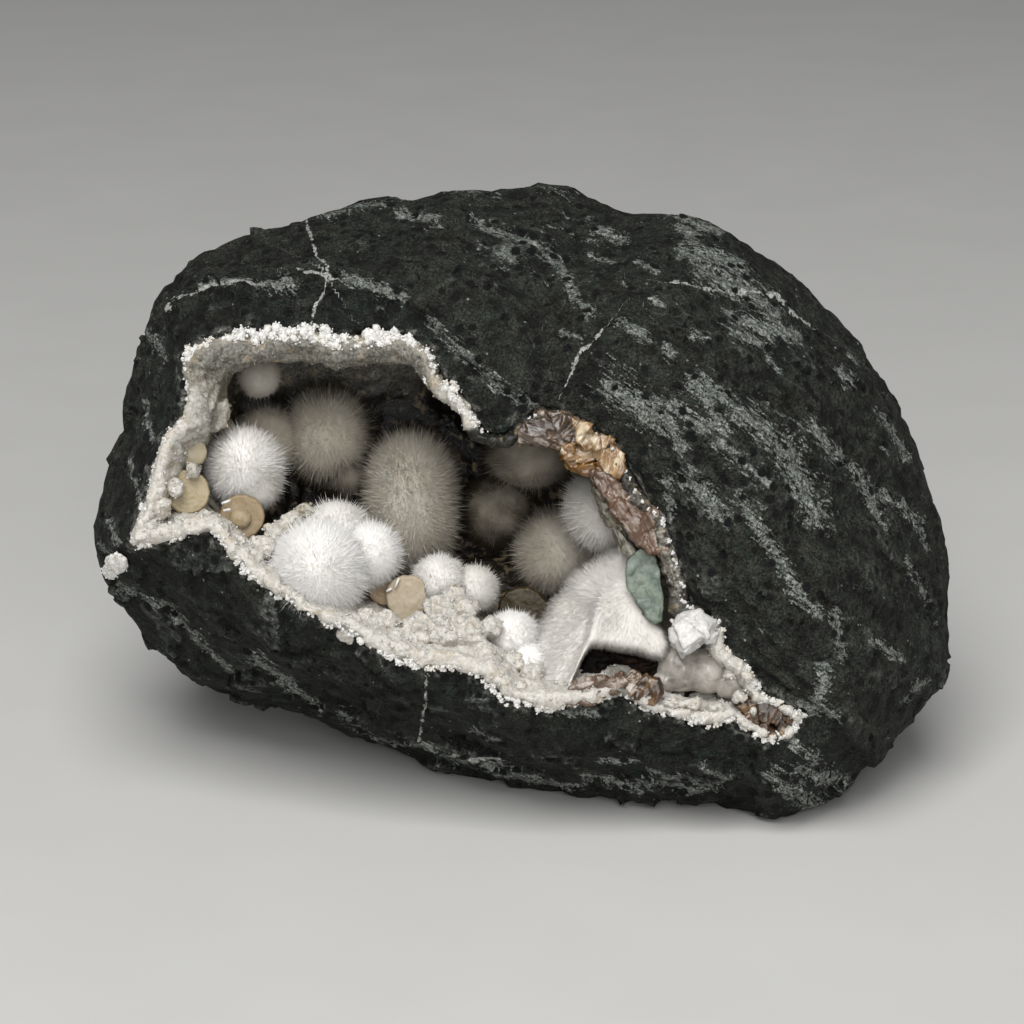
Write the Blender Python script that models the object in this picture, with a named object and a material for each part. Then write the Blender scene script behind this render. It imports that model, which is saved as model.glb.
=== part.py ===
"""Okenite puffballs in the open hollow of a loose basalt lump.

Tables are in millimetres and meshes in metres. +Z is up, the lump rests on z = 0, and its open side
faces -Y. A place is given as (u, v, depth) on the open side: u runs right and v up on a plane that
leans back with that side, and depth runs away from whoever looks at it square on.
"""

import math

import bmesh
import bpy
from mathutils import Matrix, Vector, noise
from mathutils.bvhtree import BVHTree

MM = 0.001

# The open side leans back by this much, and is drawn as it looks from this far away
LEAN = math.radians(18)
EYE_DISTANCE = 711.0
# The middle of the drawing over the table, and the middle of the finished lump in that drawing
FACE_HEIGHT = 65.6
MIDDLE_X = 2.7
MIDDLE_Y = 40.9

# How far the back of the lump lies behind the open side, and where its hindmost point is
BACK_DEPTH = 98.0
BACK_MIDDLE = (4.0, 6.0)

# Corners of a finished piece lie at least this far apart
WELD = 0.03 * MM

# Touching pieces keep this much air, and the crust stands this far out of the hollow
GAP = 0.3
SEAT_GAP = 0.4
LIP_RISE = 1.6

# Stations clockwise from the lower left: the hollow's rim (u, v), then the lump's outline (u, v)
STATIONS = (
    (-76.2, -6.6, -84.2, -7.2),
    (-74.8, -1.6, -83.8, -3.0),
    (-72.8, 3.0, -81.6, 2.2),
    (-71.0, 10.0, -80.8, 10.0),
    (-69.2, 15.6, -77.8, 18.2),
    (-65.4, 18.8, -76.4, 24.4),
    (-65.0, 24.8, -73.4, 35.0),
    (-65.8, 30.4, -70.0, 45.0),
    (-61.4, 34.0, -63.4, 51.4),
    (-55.4, 35.6, -54.6, 55.2),
    (-48.0, 35.6, -42.8, 58.0),
    (-41.4, 36.2, -34.6, 60.6),
    (-35.4, 34.4, -27.4, 62.4),
    (-28.4, 35.0, -20.4, 62.4),
    (-21.4, 35.0, -11.4, 65.0),
    (-16.8, 32.0, -2.4, 64.4),
    (-14.4, 26.4, 3.6, 65.0),
    (-9.4, 22.6, 9.4, 65.6),
    (-5.6, 15.6, 14.6, 62.6),
    (-1.2, 14.4, 20.0, 61.4),
    (1.4, 18.2, 26.0, 60.0),
    (8.0, 20.2, 32.6, 60.0),
    (13.6, 18.0, 39.8, 58.2),
    (20.0, 13.2, 48.6, 53.0),
    (22.8, 8.4, 57.4, 46.6),
    (25.8, 2.4, 64.8, 38.4),
    (30.0, -0.8, 71.2, 31.8),
    (31.8, -7.2, 76.4, 23.0),
    (33.8, -13.6, 80.2, 14.4),
    (34.4, -18.4, 82.0, 6.0),
    (38.0, -19.8, 86.0, -0.8),
    (41.6, -22.0, 88.0, -10.2),
    (42.2, -27.2, 87.2, -18.2),
    (47.2, -31.0, 87.8, -25.6),
    (50.0, -36.6, 87.8, -31.6),
    (54.8, -38.4, 84.0, -36.8),
    (58.2, -41.2, 78.8, -43.0),
    (56.0, -44.6, 73.4, -50.2),
    (52.6, -46.0, 64.0, -57.6),
    (48.6, -44.4, 54.2, -62.8),
    (43.6, -41.2, 47.6, -59.8),
    (38.6, -42.4, 41.2, -58.6),
    (32.0, -40.8, 34.2, -59.4),
    (25.6, -39.0, 26.6, -59.2),
    (21.6, -36.2, 18.4, -58.2),
    (15.6, -38.4, 10.0, -57.2),
    (7.6, -39.8, 1.8, -55.4),
    (-0.4, -38.0, -6.6, -53.6),
    (-6.0, -33.2, -13.0, -51.6),
    (-11.4, -31.2, -19.6, -49.2),
    (-19.4, -31.2, -27.6, -46.4),
    (-26.4, -28.0, -35.0, -43.2),
    (-33.4, -23.4, -42.4, -40.4),
    (-41.4, -20.2, -49.4, -38.8),
    (-47.4, -16.0, -56.0, -37.0),
    (-52.4, -12.6, -62.0, -34.4),
    (-56.8, -8.6, -67.8, -29.8),
    (-59.6, -3.8, -72.8, -25.0),
    (-64.6, -4.4, -78.0, -18.8),
    (-70.6, -5.8, -82.0, -13.2),
)

# Depths at some stations, which run evenly between them
RIM_DEPTH = {0: 2, 7: 4, 12: 5, 16: 2, 19: -1, 24: -3, 30: -2, 35: 0, 37: 2, 40: 0, 46: -5, 52: -5, 57: -1}
EDGE_DEPTH = {
    0: 30, 6: 32, 8: 38, 12: 46, 18: 50, 25: 46, 31: 42, 35: 36, 38: 22,
    39: 15.6, 41: 22, 44: 26, 47: 38, 51: 46, 54: 44, 57: 37,
}

# How the outside runs from the rim to the outline: share of the way, and share of the depth there
FACE_STEPS = (0.14, 0.3, 0.46, 0.62, 0.78, 0.9, 0.975)
FACES = {
    "side": (0.08, 0.2, 0.34, 0.5, 0.68, 0.84, 0.95),
    "brow": (0.02, 0.06, 0.13, 0.36, 0.62, 0.83, 0.95),
    "dome": (0.01, 0.05, 0.11, 0.22, 0.38, 0.58, 0.8),
    "under": (0.04, 0.13, 0.28, 0.46, 0.67, 0.85, 0.96),
}
FACE_AT = {
    0: "side", 6: "side", 9: "brow", 15: "brow", 22: "dome", 36: "dome", 40: "under", 56: "under", 58: "side",
}
# How far the natural outside swells forward beyond that
SWELL = {0: 0, 14: 1, 22: 8, 27: 14, 31: 12, 35: 6, 39: 2, 44: 4, 50: 1, 56: 0}

# How the hollow's wall runs from the rim to the spine along its floor: share of the depth, and share of
# the way inwards there, below nought where the wall is undercut
WALL_STEPS = (0.06, 0.18, 0.36, 0.56, 0.76, 0.92)
WALLS = {
    "roof": (-0.02, -0.08, -0.14, -0.16, -0.04, 0.32),
    "left": (0.08, 0.2, 0.3, 0.38, 0.48, 0.68),
    "floor": (0.03, 0.1, 0.2, 0.32, 0.46, 0.68),
    "right": (-0.05, -0.14, -0.22, -0.2, -0.02, 0.36),
    "dish": (0.05, 0.14, 0.26, 0.38, 0.52, 0.68),
    "tail": (0.02, 0.08, 0.18, 0.32, 0.48, 0.68),
}
WALL_AT = {
    0: "left", 7: "left", 10: "roof", 16: "roof", 20: "right", 28: "right", 32: "dish", 34: "tail",
    39: "tail", 41: "dish", 43: "dish",
    47: "floor", 55: "floor", 58: "left",
}

# The spine along the hollow's floor (u, v, depth) and the lining's thickness there, from the shelf at the
# left to the tail, then the last station that each of its points serves along the top and along the foot
SPINE = (
    (-65.0, 3.4, 12.0, 1.6),
    (-57.6, 6.4, 25.0, 2.0),
    (-50.0, 8.4, 41.0, 2.2),
    (-33.4, 7.6, 51.0, 2.2),
    (-16.4, 6.6, 53.0, 2.2),
    (0.6, 4.0, 51.0, 2.2),
    (12.6, -4.0, 42.0, 2.2),
    (22.6, -18.0, 26.0, 2.0),
    (35.6, -31.6, 13.0, 1.4),
    (48.6, -39.8, 7.4, 1.0),
)
SPINE_ALONG_TOP = (3, 6, 10, 13, 17, 21, 25, 29, 33, 39)
SPINE_ALONG_FOOT = {42: 8, 45: 7, 47: 6, 49: 5, 51: 4, 54: 3, 55: 2, 56: 1, 59: 0}

# Thickness of the white lining at the rim, and the share of it that is left down the wall
LINING = {
    0: 2.2, 4: 3.0, 7: 5.5, 13: 5.5, 16: 2.6, 19: 1.4, 23: 1.4, 26: 2.2, 29: 2.6, 33: 1.6, 35: 0.9, 38: 0.9,
    40: 1.6, 43: 1.6, 48: 4.0, 51: 3.0, 52: 1.6, 54: 1.6, 56: 3.0, 57: 2.4,
}
LINING_STEPS = (1.0, 0.95, 0.85, 0.7, 0.6, 0.55, 0.5)
# How far a piece may lean out over the rim, in front of the lip
OVERHANG = {0: 0, 29: 0, 30: 1.0, 32: 1.0, 33: 0, 50: 0, 52: 2.5, 54: 2.5, 56: 0}
# How far the lining thickens towards the eye rather than square to the wall, from the rim down
LINING_TURN = (0.0, 0.0, 0.1, 0.3, 0.5, 0.7, 0.9)

# Flakes lost from the back: the direction each faces, and how far from the lump's middle it lies
LUMP_MIDDLE = (2.0, 42.0, 58.0)
FLAKES = (
    ((-0.62, 0.70, 0.36), 56.0),
    ((0.60, 0.66, 0.46), 60.0),
    ((0.08, 0.86, -0.50), 50.0),
    ((0.86, 0.30, -0.42), 66.0),
    ((-0.30, 0.55, 0.78), 57.0),
)

# Okenite, as overlapping balls (u, v, depth, half width, half height, half depth)
OKENITE = {
    "okenite_ball_left": ((-53.4, 9.0, 15.0, 9.0, 8.9, 9.0), (-51.0, 2.6, 17.0, 5.0, 4.6, 5.0)),
    "okenite_cluster_left": (
        (-37.4, 15.6, 38.0, 10.2, 10.2, 13.0),
        (-48.8, 14.4, 36.0, 7.2, 7.0, 10.0),
        (-33.6, 9.0, 40.0, 7.0, 6.6, 10.0),
    ),
    "okenite_column": (
        (-20.2, 7.0, 37.0, 10.4, 10.6, 15.0),
        (-18.4, -3.4, 35.0, 9.2, 9.6, 12.0),
    ),
    "okenite_cluster_front": (
        (-38.8, -11.8, 4.0, 11.0, 10.6, 10.4),
        (-27.4, -8.2, 11.0, 6.0, 6.2, 6.0),
        (-35.4, -4.6, 16.0, 7.0, 6.6, 6.6),
    ),
    "okenite_pair_low": (
        (-15.0, -15.0, 13.0, 5.2, 5.0, 5.2),
        (-7.2, -16.0, 14.6, 4.8, 5.0, 5.0),
    ),
    "okenite_ball_low": (
        (0.0, -25.6, 8.0, 6.2, 6.0, 6.0),
        (0.4, -33.0, 2.6, 5.6, 4.4, 3.6),
    ),
    "okenite_ball_right": ((19.6, 0.6, 18.0, 9.8, 9.0, 8.6),),
    "okenite_cluster_back": (
        (3.6, 11.2, 39.0, 10.6, 8.0, 12.0),
        (-2.6, -1.0, 41.0, 9.4, 8.0, 12.0),
        (10.0, -9.0, 34.0, 9.0, 9.0, 11.0),
    ),
    "okenite_ball_roof": ((-50.6, 29.0, 24.0, 4.6, 6.0, 4.6),),
    "okenite_fan": (
        (14.8, -15.0, 14.0, 8.4, 7.4, 7.0),
        (23.4, -21.6, 8.2, 9.4, 6.2, 5.6),
        (11.0, -26.0, 7.4, 6.4, 8.4, 5.6),
        (8.2, -33.0, 3.4, 5.0, 5.4, 3.8),
    ),
}

# Faces round and over a ball, with fewer on a small one
BALL_FACES = (10, 7)
SMALL_BALL_FACES = (8, 5)
SMALL_BALL = 6.5

# Gyrolite beads, in the same way
BEADS = {
    "gyrolite_bead_left": ((-54.4, -1.4, 4.6, 2.3, 2.2, 1.6),),
    "gyrolite_bead_upper": ((-57.8, 16.4, 24.0, 3.0, 2.8, 3.0),),
}

# Discs (u, v, depth, radius, thickness)
DISCS = {
    "gyrolite_disc_front": (-20.8, -17.0, 8.6, 4.5, 1.4),
    "gyrolite_disc_behind": (-25.6, -15.6, 11.4, 3.2, 1.2),
    "gyrolite_disc_brown": (2.2, -20.0, 21.0, 5.2, 1.6),
    "gyrolite_disc_left_upper": (-63.8, 12.0, 5.0, 2.9, 1.2),
    "gyrolite_disc_left_ringed": (-64.8, 4.0, 5.0, 4.5, 1.4),
    "gyrolite_disc_left_lower": (-54.0, -1.0, 7.4, 4.6, 1.4),
}
DISC_FOOT = (-22.8, -22.8)

# Bladed crystals (u, v, depth, length, width, thickness, turn on the open side, tip towards the eye)
BLADES = {
    "calcite_blades_upper": (
        (5.2, 16.6, -0.6, 7.5, 4.6, 3.0, 10, 12),
        (10.4, 17.0, -0.4, 7.0, 5.0, 3.0, -25, 20),
        (14.4, 13.4, 0.4, 8.5, 5.4, 3.4, -40, 8),
        (19.2, 10.2, 0.2, 7.0, 4.6, 3.2, -15, 16),
        (15.2, 10.2, 1.6, 6.0, 4.0, 3.0, 5, 4),
    ),
    "calcite_blades_right": (
        (21.6, 3.6, 0.2, 6.5, 3.6, 2.6, -60, 10),
        (24.2, 0.2, 0.0, 8.0, 4.2, 2.6, -50, 14),
        (27.4, -3.6, -0.6, 7.0, 4.6, 2.6, -35, 8),
        (22.8, -4.2, 1.2, 9.0, 3.0, 2.2, -68, 6),
    ),
    "calcite_blades_tail": (
        (48.8, -39.6, 0.6, 6.5, 3.4, 2.4, -20, 12),
        (52.8, -41.6, 0.8, 6.0, 3.6, 2.6, 25, 8),
        (55.2, -41.0, 0.6, 4.0, 2.6, 2.2, -50, 14),
    ),
    "calcite_blades_low": (
        (16.6, -34.0, -1.2, 9.0, 3.6, 2.8, 6, 4),
        (21.0, -32.8, -0.8, 9.5, 3.6, 3.0, -20, 8),
        (27.0, -34.6, -0.8, 6.0, 4.4, 3.0, 70, 8),
    ),
}

# Plates and chunks: an outline (u, v), then the depth of its front and its thickness
GREEN_OUTLINE = (
    (25.2, -7.2), (28.0, -6.8), (30.8, -9.6), (32.0, -15.6), (32.2, -19.6), (29.0, -21.8), (27.2, -21.6),
    (25.6, -18.6), (23.0, -15.6), (22.8, -14.0), (24.0, -11.2),
)
GREEN_FRONT = -1.4
GREEN_THICKNESS = 2.4
CHUNK_OUTLINE = (
    (31.4, -22.6), (33.6, -20.0), (37.6, -19.6), (41.0, -21.6), (41.0, -26.2), (38.6, -25.8), (34.0, -29.2),
    (32.0, -25.6),
)
CHUNK_FRONT = -8.0
CHUNK_THICKNESS = 8.0
FIN_OUTLINE = ((16.4, -17.0), (18.2, -21.0), (15.6, -26.6), (10.2, -35.4), (8.0, -33.0), (11.8, -24.0))
FIN_FRONT = -1.6
FIN_THICKNESS = 6.0

POCKET = (38.4, -32.0, 9.6, 10.4, 6.8, 7.4)
POCKET_SCOOP = (38.0, -31.6, 1.6, 8.4, 4.8, 7.4)

# The patch of crust on the left side: its middle (u, v), half sizes and how far it stands out
PATCH = (-79.2, -10.8, 1.7, 2.5)
PATCH_TURN = math.radians(-38)
PATCH_RISE = 1.4

# Which balls each piece gives way to
OKENITE_NEIGHBOURS = {
    "okenite_fan": ("okenite_ball_low",),
    "okenite_ball_right": ("okenite_fan",),
    "okenite_cluster_back": ("okenite_fan", "okenite_ball_right", "okenite_column"),
    "okenite_cluster_left": ("okenite_column",),
}
DISC_NEIGHBOURS = {
    "gyrolite_disc_front": ("okenite_cluster_front", "okenite_pair_low"),
    "gyrolite_disc_behind": ("okenite_cluster_front",),
    "gyrolite_disc_brown": ("okenite_fan", "okenite_ball_low", "okenite_pair_low"),
    "gyrolite_disc_left_lower": ("okenite_ball_left", "okenite_cluster_front"),
    "gyrolite_disc_left_ringed": ("okenite_ball_left",),
    "gyrolite_disc_left_upper": ("okenite_ball_left",),
}
BLADE_NEIGHBOURS = {
    "calcite_blades_upper": ("okenite_ball_right",),
    "calcite_blades_right": ("okenite_ball_right",),
    "calcite_blades_low": ("okenite_fan",),
}

COLOURS = {
    "basalt": ((0.020, 0.021, 0.019), 0.85),
    "crust": ((0.72, 0.70, 0.65), 0.55),
    "okenite": ((0.86, 0.84, 0.80), 0.70),
    "gyrolite": ((0.50, 0.42, 0.30), 0.45),
    "calcite": ((0.32, 0.20, 0.10), 0.25),
    "green": ((0.24, 0.32, 0.26), 0.50),
    "chalk": ((0.80, 0.79, 0.76), 0.80),
    "chalcedony": ((0.42, 0.39, 0.36), 0.25),
}


def at(u, v, depth):
    """A place on the open side, as a point in metres."""
    spread = 1 + depth / EYE_DISTANCE
    y = v * spread * math.sin(LEAN) + depth * math.cos(LEAN)
    z = v * spread * math.cos(LEAN) - depth * math.sin(LEAN) + FACE_HEIGHT
    return Vector((u * spread - MIDDLE_X, y - MIDDLE_Y, z)) * MM


FACE_TURN = Matrix.Rotation(-LEAN, 4, "X")
TOWARDS_EYE = FACE_TURN @ Vector((0, -1, 0))


def keys_around(keys, station):
    """The keyed stations before and after this one, and how far it is between them."""
    count = len(STATIONS)
    places = sorted(keys)
    before = max((p for p in places if p <= station), default=places[-1])
    after = min((p for p in places if p > station), default=places[0])
    span = (after - before) % count or count
    return before, after, ((station - before) % count) / span


def keyed(keys, station):
    before, after, share = keys_around(keys, station)
    return keys[before] * (1 - share) + keys[after] * share


def profile(shapes, keys, station, step):
    before, after, share = keys_around(keys, station)
    return shapes[keys[before]][step] * (1 - share) + shapes[keys[after]][step] * share


def roughness(point, size, height, seed):
    """Even, repeatable unevenness: lumps of this size in mm, and this high either way in mm."""
    return height * noise.noise(point / (size * MM) + Vector((seed, 3.1 * seed, 7.7)))


def spine_of(station):
    if station <= SPINE_ALONG_TOP[-1]:
        for index, last in enumerate(SPINE_ALONG_TOP):
            if station <= last:
                return SPINE[index]
    for last, index in SPINE_ALONG_FOOT.items():
        if station <= last:
            return SPINE[index]
    return SPINE[0]


def wall_point(station, step):
    """The hollow's wall in the rock: step 0 is the rim, and the last one is on the spine."""
    u, v, _, _ = STATIONS[station]
    depth = keyed(RIM_DEPTH, station)
    end = spine_of(station)
    if step == 0:
        return at(u, v, depth)
    if step > len(WALL_STEPS):
        return at(*end[:3])
    inwards = profile(WALLS, WALL_AT, station, step - 1)
    down = WALL_STEPS[step - 1]
    point = at(
        u + (end[0] - u) * inwards,
        v + (end[1] - v) * inwards,
        depth + (end[2] - depth) * down,
    )
    calm = min(1, down * (end[2] - depth) / 8)
    return point + TOWARDS_EYE * roughness(point, 14, 0.8, 1) * calm * MM


def face_point(station, step):
    """The outside of the open side, between the rim and the outline."""
    rim_u, rim_v, edge_u, edge_v = STATIONS[station]
    share = FACE_STEPS[step]
    near = keyed(RIM_DEPTH, station)
    far = keyed(EDGE_DEPTH, station)
    depth = near + (far - near) * profile(FACES, FACE_AT, station, step)
    depth -= keyed(SWELL, station) * math.sin(math.pi * share**0.8) ** 2
    u = rim_u + (edge_u - rim_u) * share
    v = rim_v + (edge_v - rim_v) * share
    point = at(u, v, depth)
    calm = min(1, 5 * share) * (1 - share**6)
    return point + TOWARDS_EYE * (roughness(point, 17, 2.2, 2) + roughness(point, 8, 1.0, 3)) * calm * MM


def edge_point(station):
    _, _, u, v = STATIONS[station]
    return at(u, v, keyed(EDGE_DEPTH, station))


def back_point(station, width, deep):
    """The back of the lump: width is what is left of the outline, and deep the share of the depth."""
    _, _, u, v = STATIONS[station]
    near = keyed(EDGE_DEPTH, station)
    middle_u, middle_v = BACK_MIDDLE
    point = at(
        middle_u + (u - middle_u) * width,
        middle_v + (v - middle_v) * width,
        near + (BACK_DEPTH - near) * deep,
    )
    outwards = (point - Vector(LUMP_MIDDLE) * MM).normalized()
    point += outwards * (roughness(point, 26, 3.4, 4) + roughness(point, 11, 1.4, 5)) * MM
    for direction, distance in FLAKES:
        facing = Vector(direction).normalized()
        proud = facing.dot(point - Vector(LUMP_MIDDLE) * MM) - distance * MM
        if proud > 0:
            point -= facing * proud * 0.9
    return point


def on_table(point):
    """The foot is worn flat where it rests."""
    return Vector((point.x, point.y, max(point.z, 0.0)))


def material(name):
    """A plain finish for a kind of mineral, made once."""
    if name in bpy.data.materials:
        return bpy.data.materials[name]
    made = bpy.data.materials.new(name)
    made.use_nodes = True
    colour, rough = COLOURS[name]
    shader = made.node_tree.nodes["Principled BSDF"]
    shader.inputs["Base Color"].default_value = (*colour, 1)
    shader.inputs["Roughness"].default_value = rough
    shader.inputs["Metallic"].default_value = 0.0
    return made


def add_object(name, form, finish=None):
    """An object from a bmesh, with its faces turned outwards."""
    bmesh.ops.recalc_face_normals(form, faces=form.faces)
    mesh = bpy.data.meshes.new(name)
    form.to_mesh(mesh)
    form.free()
    obj = bpy.data.objects.new(name, mesh)
    bpy.context.scene.collection.objects.link(obj)
    if finish:
        mesh.materials.append(material(finish))
    else:
        obj.hide_render = True
        obj.display_type = "WIRE"
    return obj


def skin(name, levels, finish=None):
    """A closed skin through rings of points; a ring that comes together in points closes an end."""
    form = bmesh.new()
    rings = [[form.verts.new(point) for point in level] for level in levels]
    count = len(levels[0])
    for ring, following in zip(rings, rings[1:]):
        for here in range(count):
            beside = (here + 1) % count
            form.faces.new((ring[here], ring[beside], following[beside], following[here]))
    bmesh.ops.remove_doubles(form, verts=form.verts, dist=1e-6)
    bmesh.ops.triangulate(form, faces=form.faces, quad_method="SHORT_EDGE")
    return add_object(name, form, finish)


def stations():
    return range(len(STATIONS))


def wall_levels():
    return [[wall_point(k, step) for k in stations()] for step in range(len(WALL_STEPS) + 2)]


def rock():
    """The basalt: the hollow's wall, the broken and natural outside, and the rounded back."""
    levels = wall_levels()[::-1]
    levels += [[on_table(face_point(k, step)) for k in stations()] for step in range(len(FACE_STEPS))]
    levels.append([on_table(edge_point(k)) for k in stations()])
    for width, deep in ((0.985, 0.2), (0.93, 0.43), (0.81, 0.66), (0.6, 0.84), (0.33, 0.955), (0, 1)):
        levels.append([on_table(back_point(k, width, deep)) for k in stations()])
    return skin("basalt_matrix", levels, "basalt")


def inset_levels(inset_of):
    """The hollow's wall moved inwards by inset_of(station, step) mm."""
    walls = wall_levels()
    count = len(STATIONS)
    moved = []
    for step, level in enumerate(walls[:-1]):
        shallower = walls[max(step - 1, 0)]
        deeper = walls[step + 1]
        ring = []
        for k in stations():
            along = level[(k + 1) % count] - level[k - 1]
            inwards = (deeper[k] - shallower[k]).cross(along).normalized()
            inwards = inwards.lerp(TOWARDS_EYE, LINING_TURN[step]).normalized()
            ring.append(level[k] + inwards * inset_of(k, step) * MM)
        moved.append(ring)
    last = len(walls) - 1
    moved.append([walls[last][k] + TOWARDS_EYE * inset_of(k, last) * MM for k in stations()])
    return moved


def lining_inset(station, step):
    if step >= len(LINING_STEPS):
        return GAP + spine_of(station)[3]
    lumps = 1 + roughness(at(*STATIONS[station][:2], 9.0 * step), 7, 0.35, 6)
    return GAP + keyed(LINING, station) * LINING_STEPS[step] * lumps


def lip_level(outer, inner, share, rise):
    return [o.lerp(i, share) + TOWARDS_EYE * rise * MM for o, i in zip(outer, inner)]


def crust():
    """The lining: a bowl between the wall of rock and the air, with a low rounded lip."""
    outer = inset_levels(lambda station, step: GAP)
    inner = inset_levels(lining_inset)
    lips = [lip_level(outer[0], inner[0], share, LIP_RISE) for share in (0.2, 0.75)]
    return skin("vug_crust", outer[::-1] + lips + inner, "crust")


def room():
    """The air in the hollow and in front of it, less the gap that seated pieces keep to the crust."""
    inner = inset_levels(lambda station, step: lining_inset(station, step) + SEAT_GAP)
    outer = inset_levels(lambda station, step: GAP)
    above = LIP_RISE + SEAT_GAP
    brink = [
        outer[0][k] + (outer[0][k] - inner[0][k]).normalized() * keyed(OVERHANG, k) * MM for k in stations()
    ]
    fronts = [
        lip_level(outer[0], inner[0], 0.8, above),
        lip_level(brink, inner[0], 0.0, above),
        lip_level(brink, inner[0], 0.0, above + 30),
    ]
    fronts.append([at(-10, -5, -60)] * len(STATIONS))
    return skin("room", inner[::-1] + fronts)


def add_ball(form, place, grow=0.0):
    """An uneven ball with its own half width, height and depth, square to the open side."""
    u, v, depth, wide, high, deep = place
    spread = (1 + depth / EYE_DISTANCE) * MM
    size = Vector((wide + grow, deep + grow, high + grow)) * spread
    segments, rings = BALL_FACES if wide > SMALL_BALL else SMALL_BALL_FACES
    made = bmesh.ops.create_uvsphere(form, u_segments=segments, v_segments=rings, radius=1)
    for vert in made["verts"]:
        vert.co *= 1 + 0.04 * noise.noise(vert.co * 1.7 + Vector((u, v, depth)))
    rolled = Matrix.Rotation(0.37 * u, 4, "Y") @ Matrix.Rotation(0.29 * v + 0.1, 4, "X")
    turned = Matrix.Translation(at(u, v, depth)) @ FACE_TURN @ Matrix.Diagonal((*size, 1)) @ rolled
    bmesh.ops.transform(form, matrix=turned, verts=made["verts"])


def ball(name, place, finish=None, grow=0.0):
    form = bmesh.new()
    add_ball(form, place, grow)
    return add_object(name, form, finish)


def combine(obj, other, operation):
    step = obj.modifiers.new(f"{operation.lower()} {other.name}"[:60], "BOOLEAN")
    step.operation = operation
    step.solver = "EXACT"
    step.object = other


def rounded(name, places, finish):
    """Balls grown together into one solid."""
    obj = ball(name, places[0], finish)
    for index, place in enumerate(places[1:]):
        combine(obj, ball(f"{name}_part_{index}", place), "UNION")
    return obj


def keep_clear(obj, places, name):
    """Cuts away what would reach into another piece's balls or the air just around them."""
    for index, place in enumerate(places):
        combine(obj, ball(f"{obj.name}_clear_of_{name}_{index}", place, grow=SEAT_GAP), "DIFFERENCE")


def prism(name, outline, front, thickness, finish=None, taper=0.8):
    """A plate or chunk with this outline, its front face a little smaller than its back."""
    middle_u = sum(u for u, _ in outline) / len(outline)
    middle_v = sum(v for _, v in outline) / len(outline)
    form = bmesh.new()
    rings = []
    for share, size in ((1.0, 1.0), (0.35, 1.0), (0.0, taper)):
        depth = front + thickness * share
        rings.append([
            form.verts.new(at(middle_u + (u - middle_u) * size, middle_v + (v - middle_v) * size, depth))
            for u, v in outline
        ])
    count = len(outline)
    for ring, following in zip(rings, rings[1:]):
        for here in range(count):
            beside = (here + 1) % count
            form.faces.new((ring[here], ring[beside], following[beside], following[here]))
    form.faces.new(rings[0])
    form.faces.new(rings[-1])
    bmesh.ops.triangulate(form, faces=form.faces)
    return add_object(name, form, finish)


def disc_outline(u, v, radius, foot=None, corners=14):
    """A round outline, drawn out to a pointed foot where one is given."""
    points = []
    for corner in range(corners):
        angle = 2 * math.pi * corner / corners
        points.append((u + radius * math.cos(angle), v + radius * math.sin(angle)))
    if foot:
        nearest = min(range(corners), key=lambda c: math.dist(points[c], foot))
        points[nearest] = foot
    return points


def blade_mesh(place, finish=None, name="blade"):
    """A flat crystal with a bevelled tip at both ends."""
    u, v, depth, length, width, thickness, turn, rise = place
    half = (length / 2, thickness / 2, width / 2)
    form = bmesh.new()
    ring = ((0.6, 1), (1, 0.1), (0.7, -1), (-0.6, -1), (-1, -0.1), (-0.7, 1))
    sides = []
    for side in (-1, 1):
        narrow = 1.0 if side > 0 else 0.82
        sides.append([
            form.verts.new((x * narrow * half[0], side * half[1], z * narrow * half[2])) for x, z in ring
        ])
    count = len(ring)
    for here in range(count):
        beside = (here + 1) % count
        form.faces.new((sides[0][here], sides[0][beside], sides[1][beside], sides[1][here]))
    form.faces.new(sides[0])
    form.faces.new(sides[1])
    bmesh.ops.triangulate(form, faces=form.faces)
    turned = (
        Matrix.Translation(at(u, v, depth))
        @ FACE_TURN
        @ Matrix.Rotation(-math.radians(turn), 4, "Y")
        @ Matrix.Rotation(math.radians(rise), 4, "Z")
        @ Matrix.Scale(MM, 4)
    )
    bmesh.ops.transform(form, matrix=turned, verts=form.verts)
    return add_object(name, form, finish)


def blades(name, places):
    """Crystals grown through each other into one solid."""
    obj = blade_mesh(places[0], "calcite", name)
    for index, place in enumerate(places[1:]):
        combine(obj, blade_mesh(place, name=f"{name}_part_{index}"), "UNION")
    return obj


def surface_finder(obj):
    """Finds where a line of sight through (u, v) meets this object."""
    mesh = obj.data
    tree = BVHTree.FromPolygons([v.co for v in mesh.vertices], [p.vertices for p in mesh.polygons])

    def find(u, v):
        start = at(u, v, -60)
        aim = (at(u, v, 60) - start).normalized()
        return tree.ray_cast(start, aim)[0]

    return find


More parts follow.
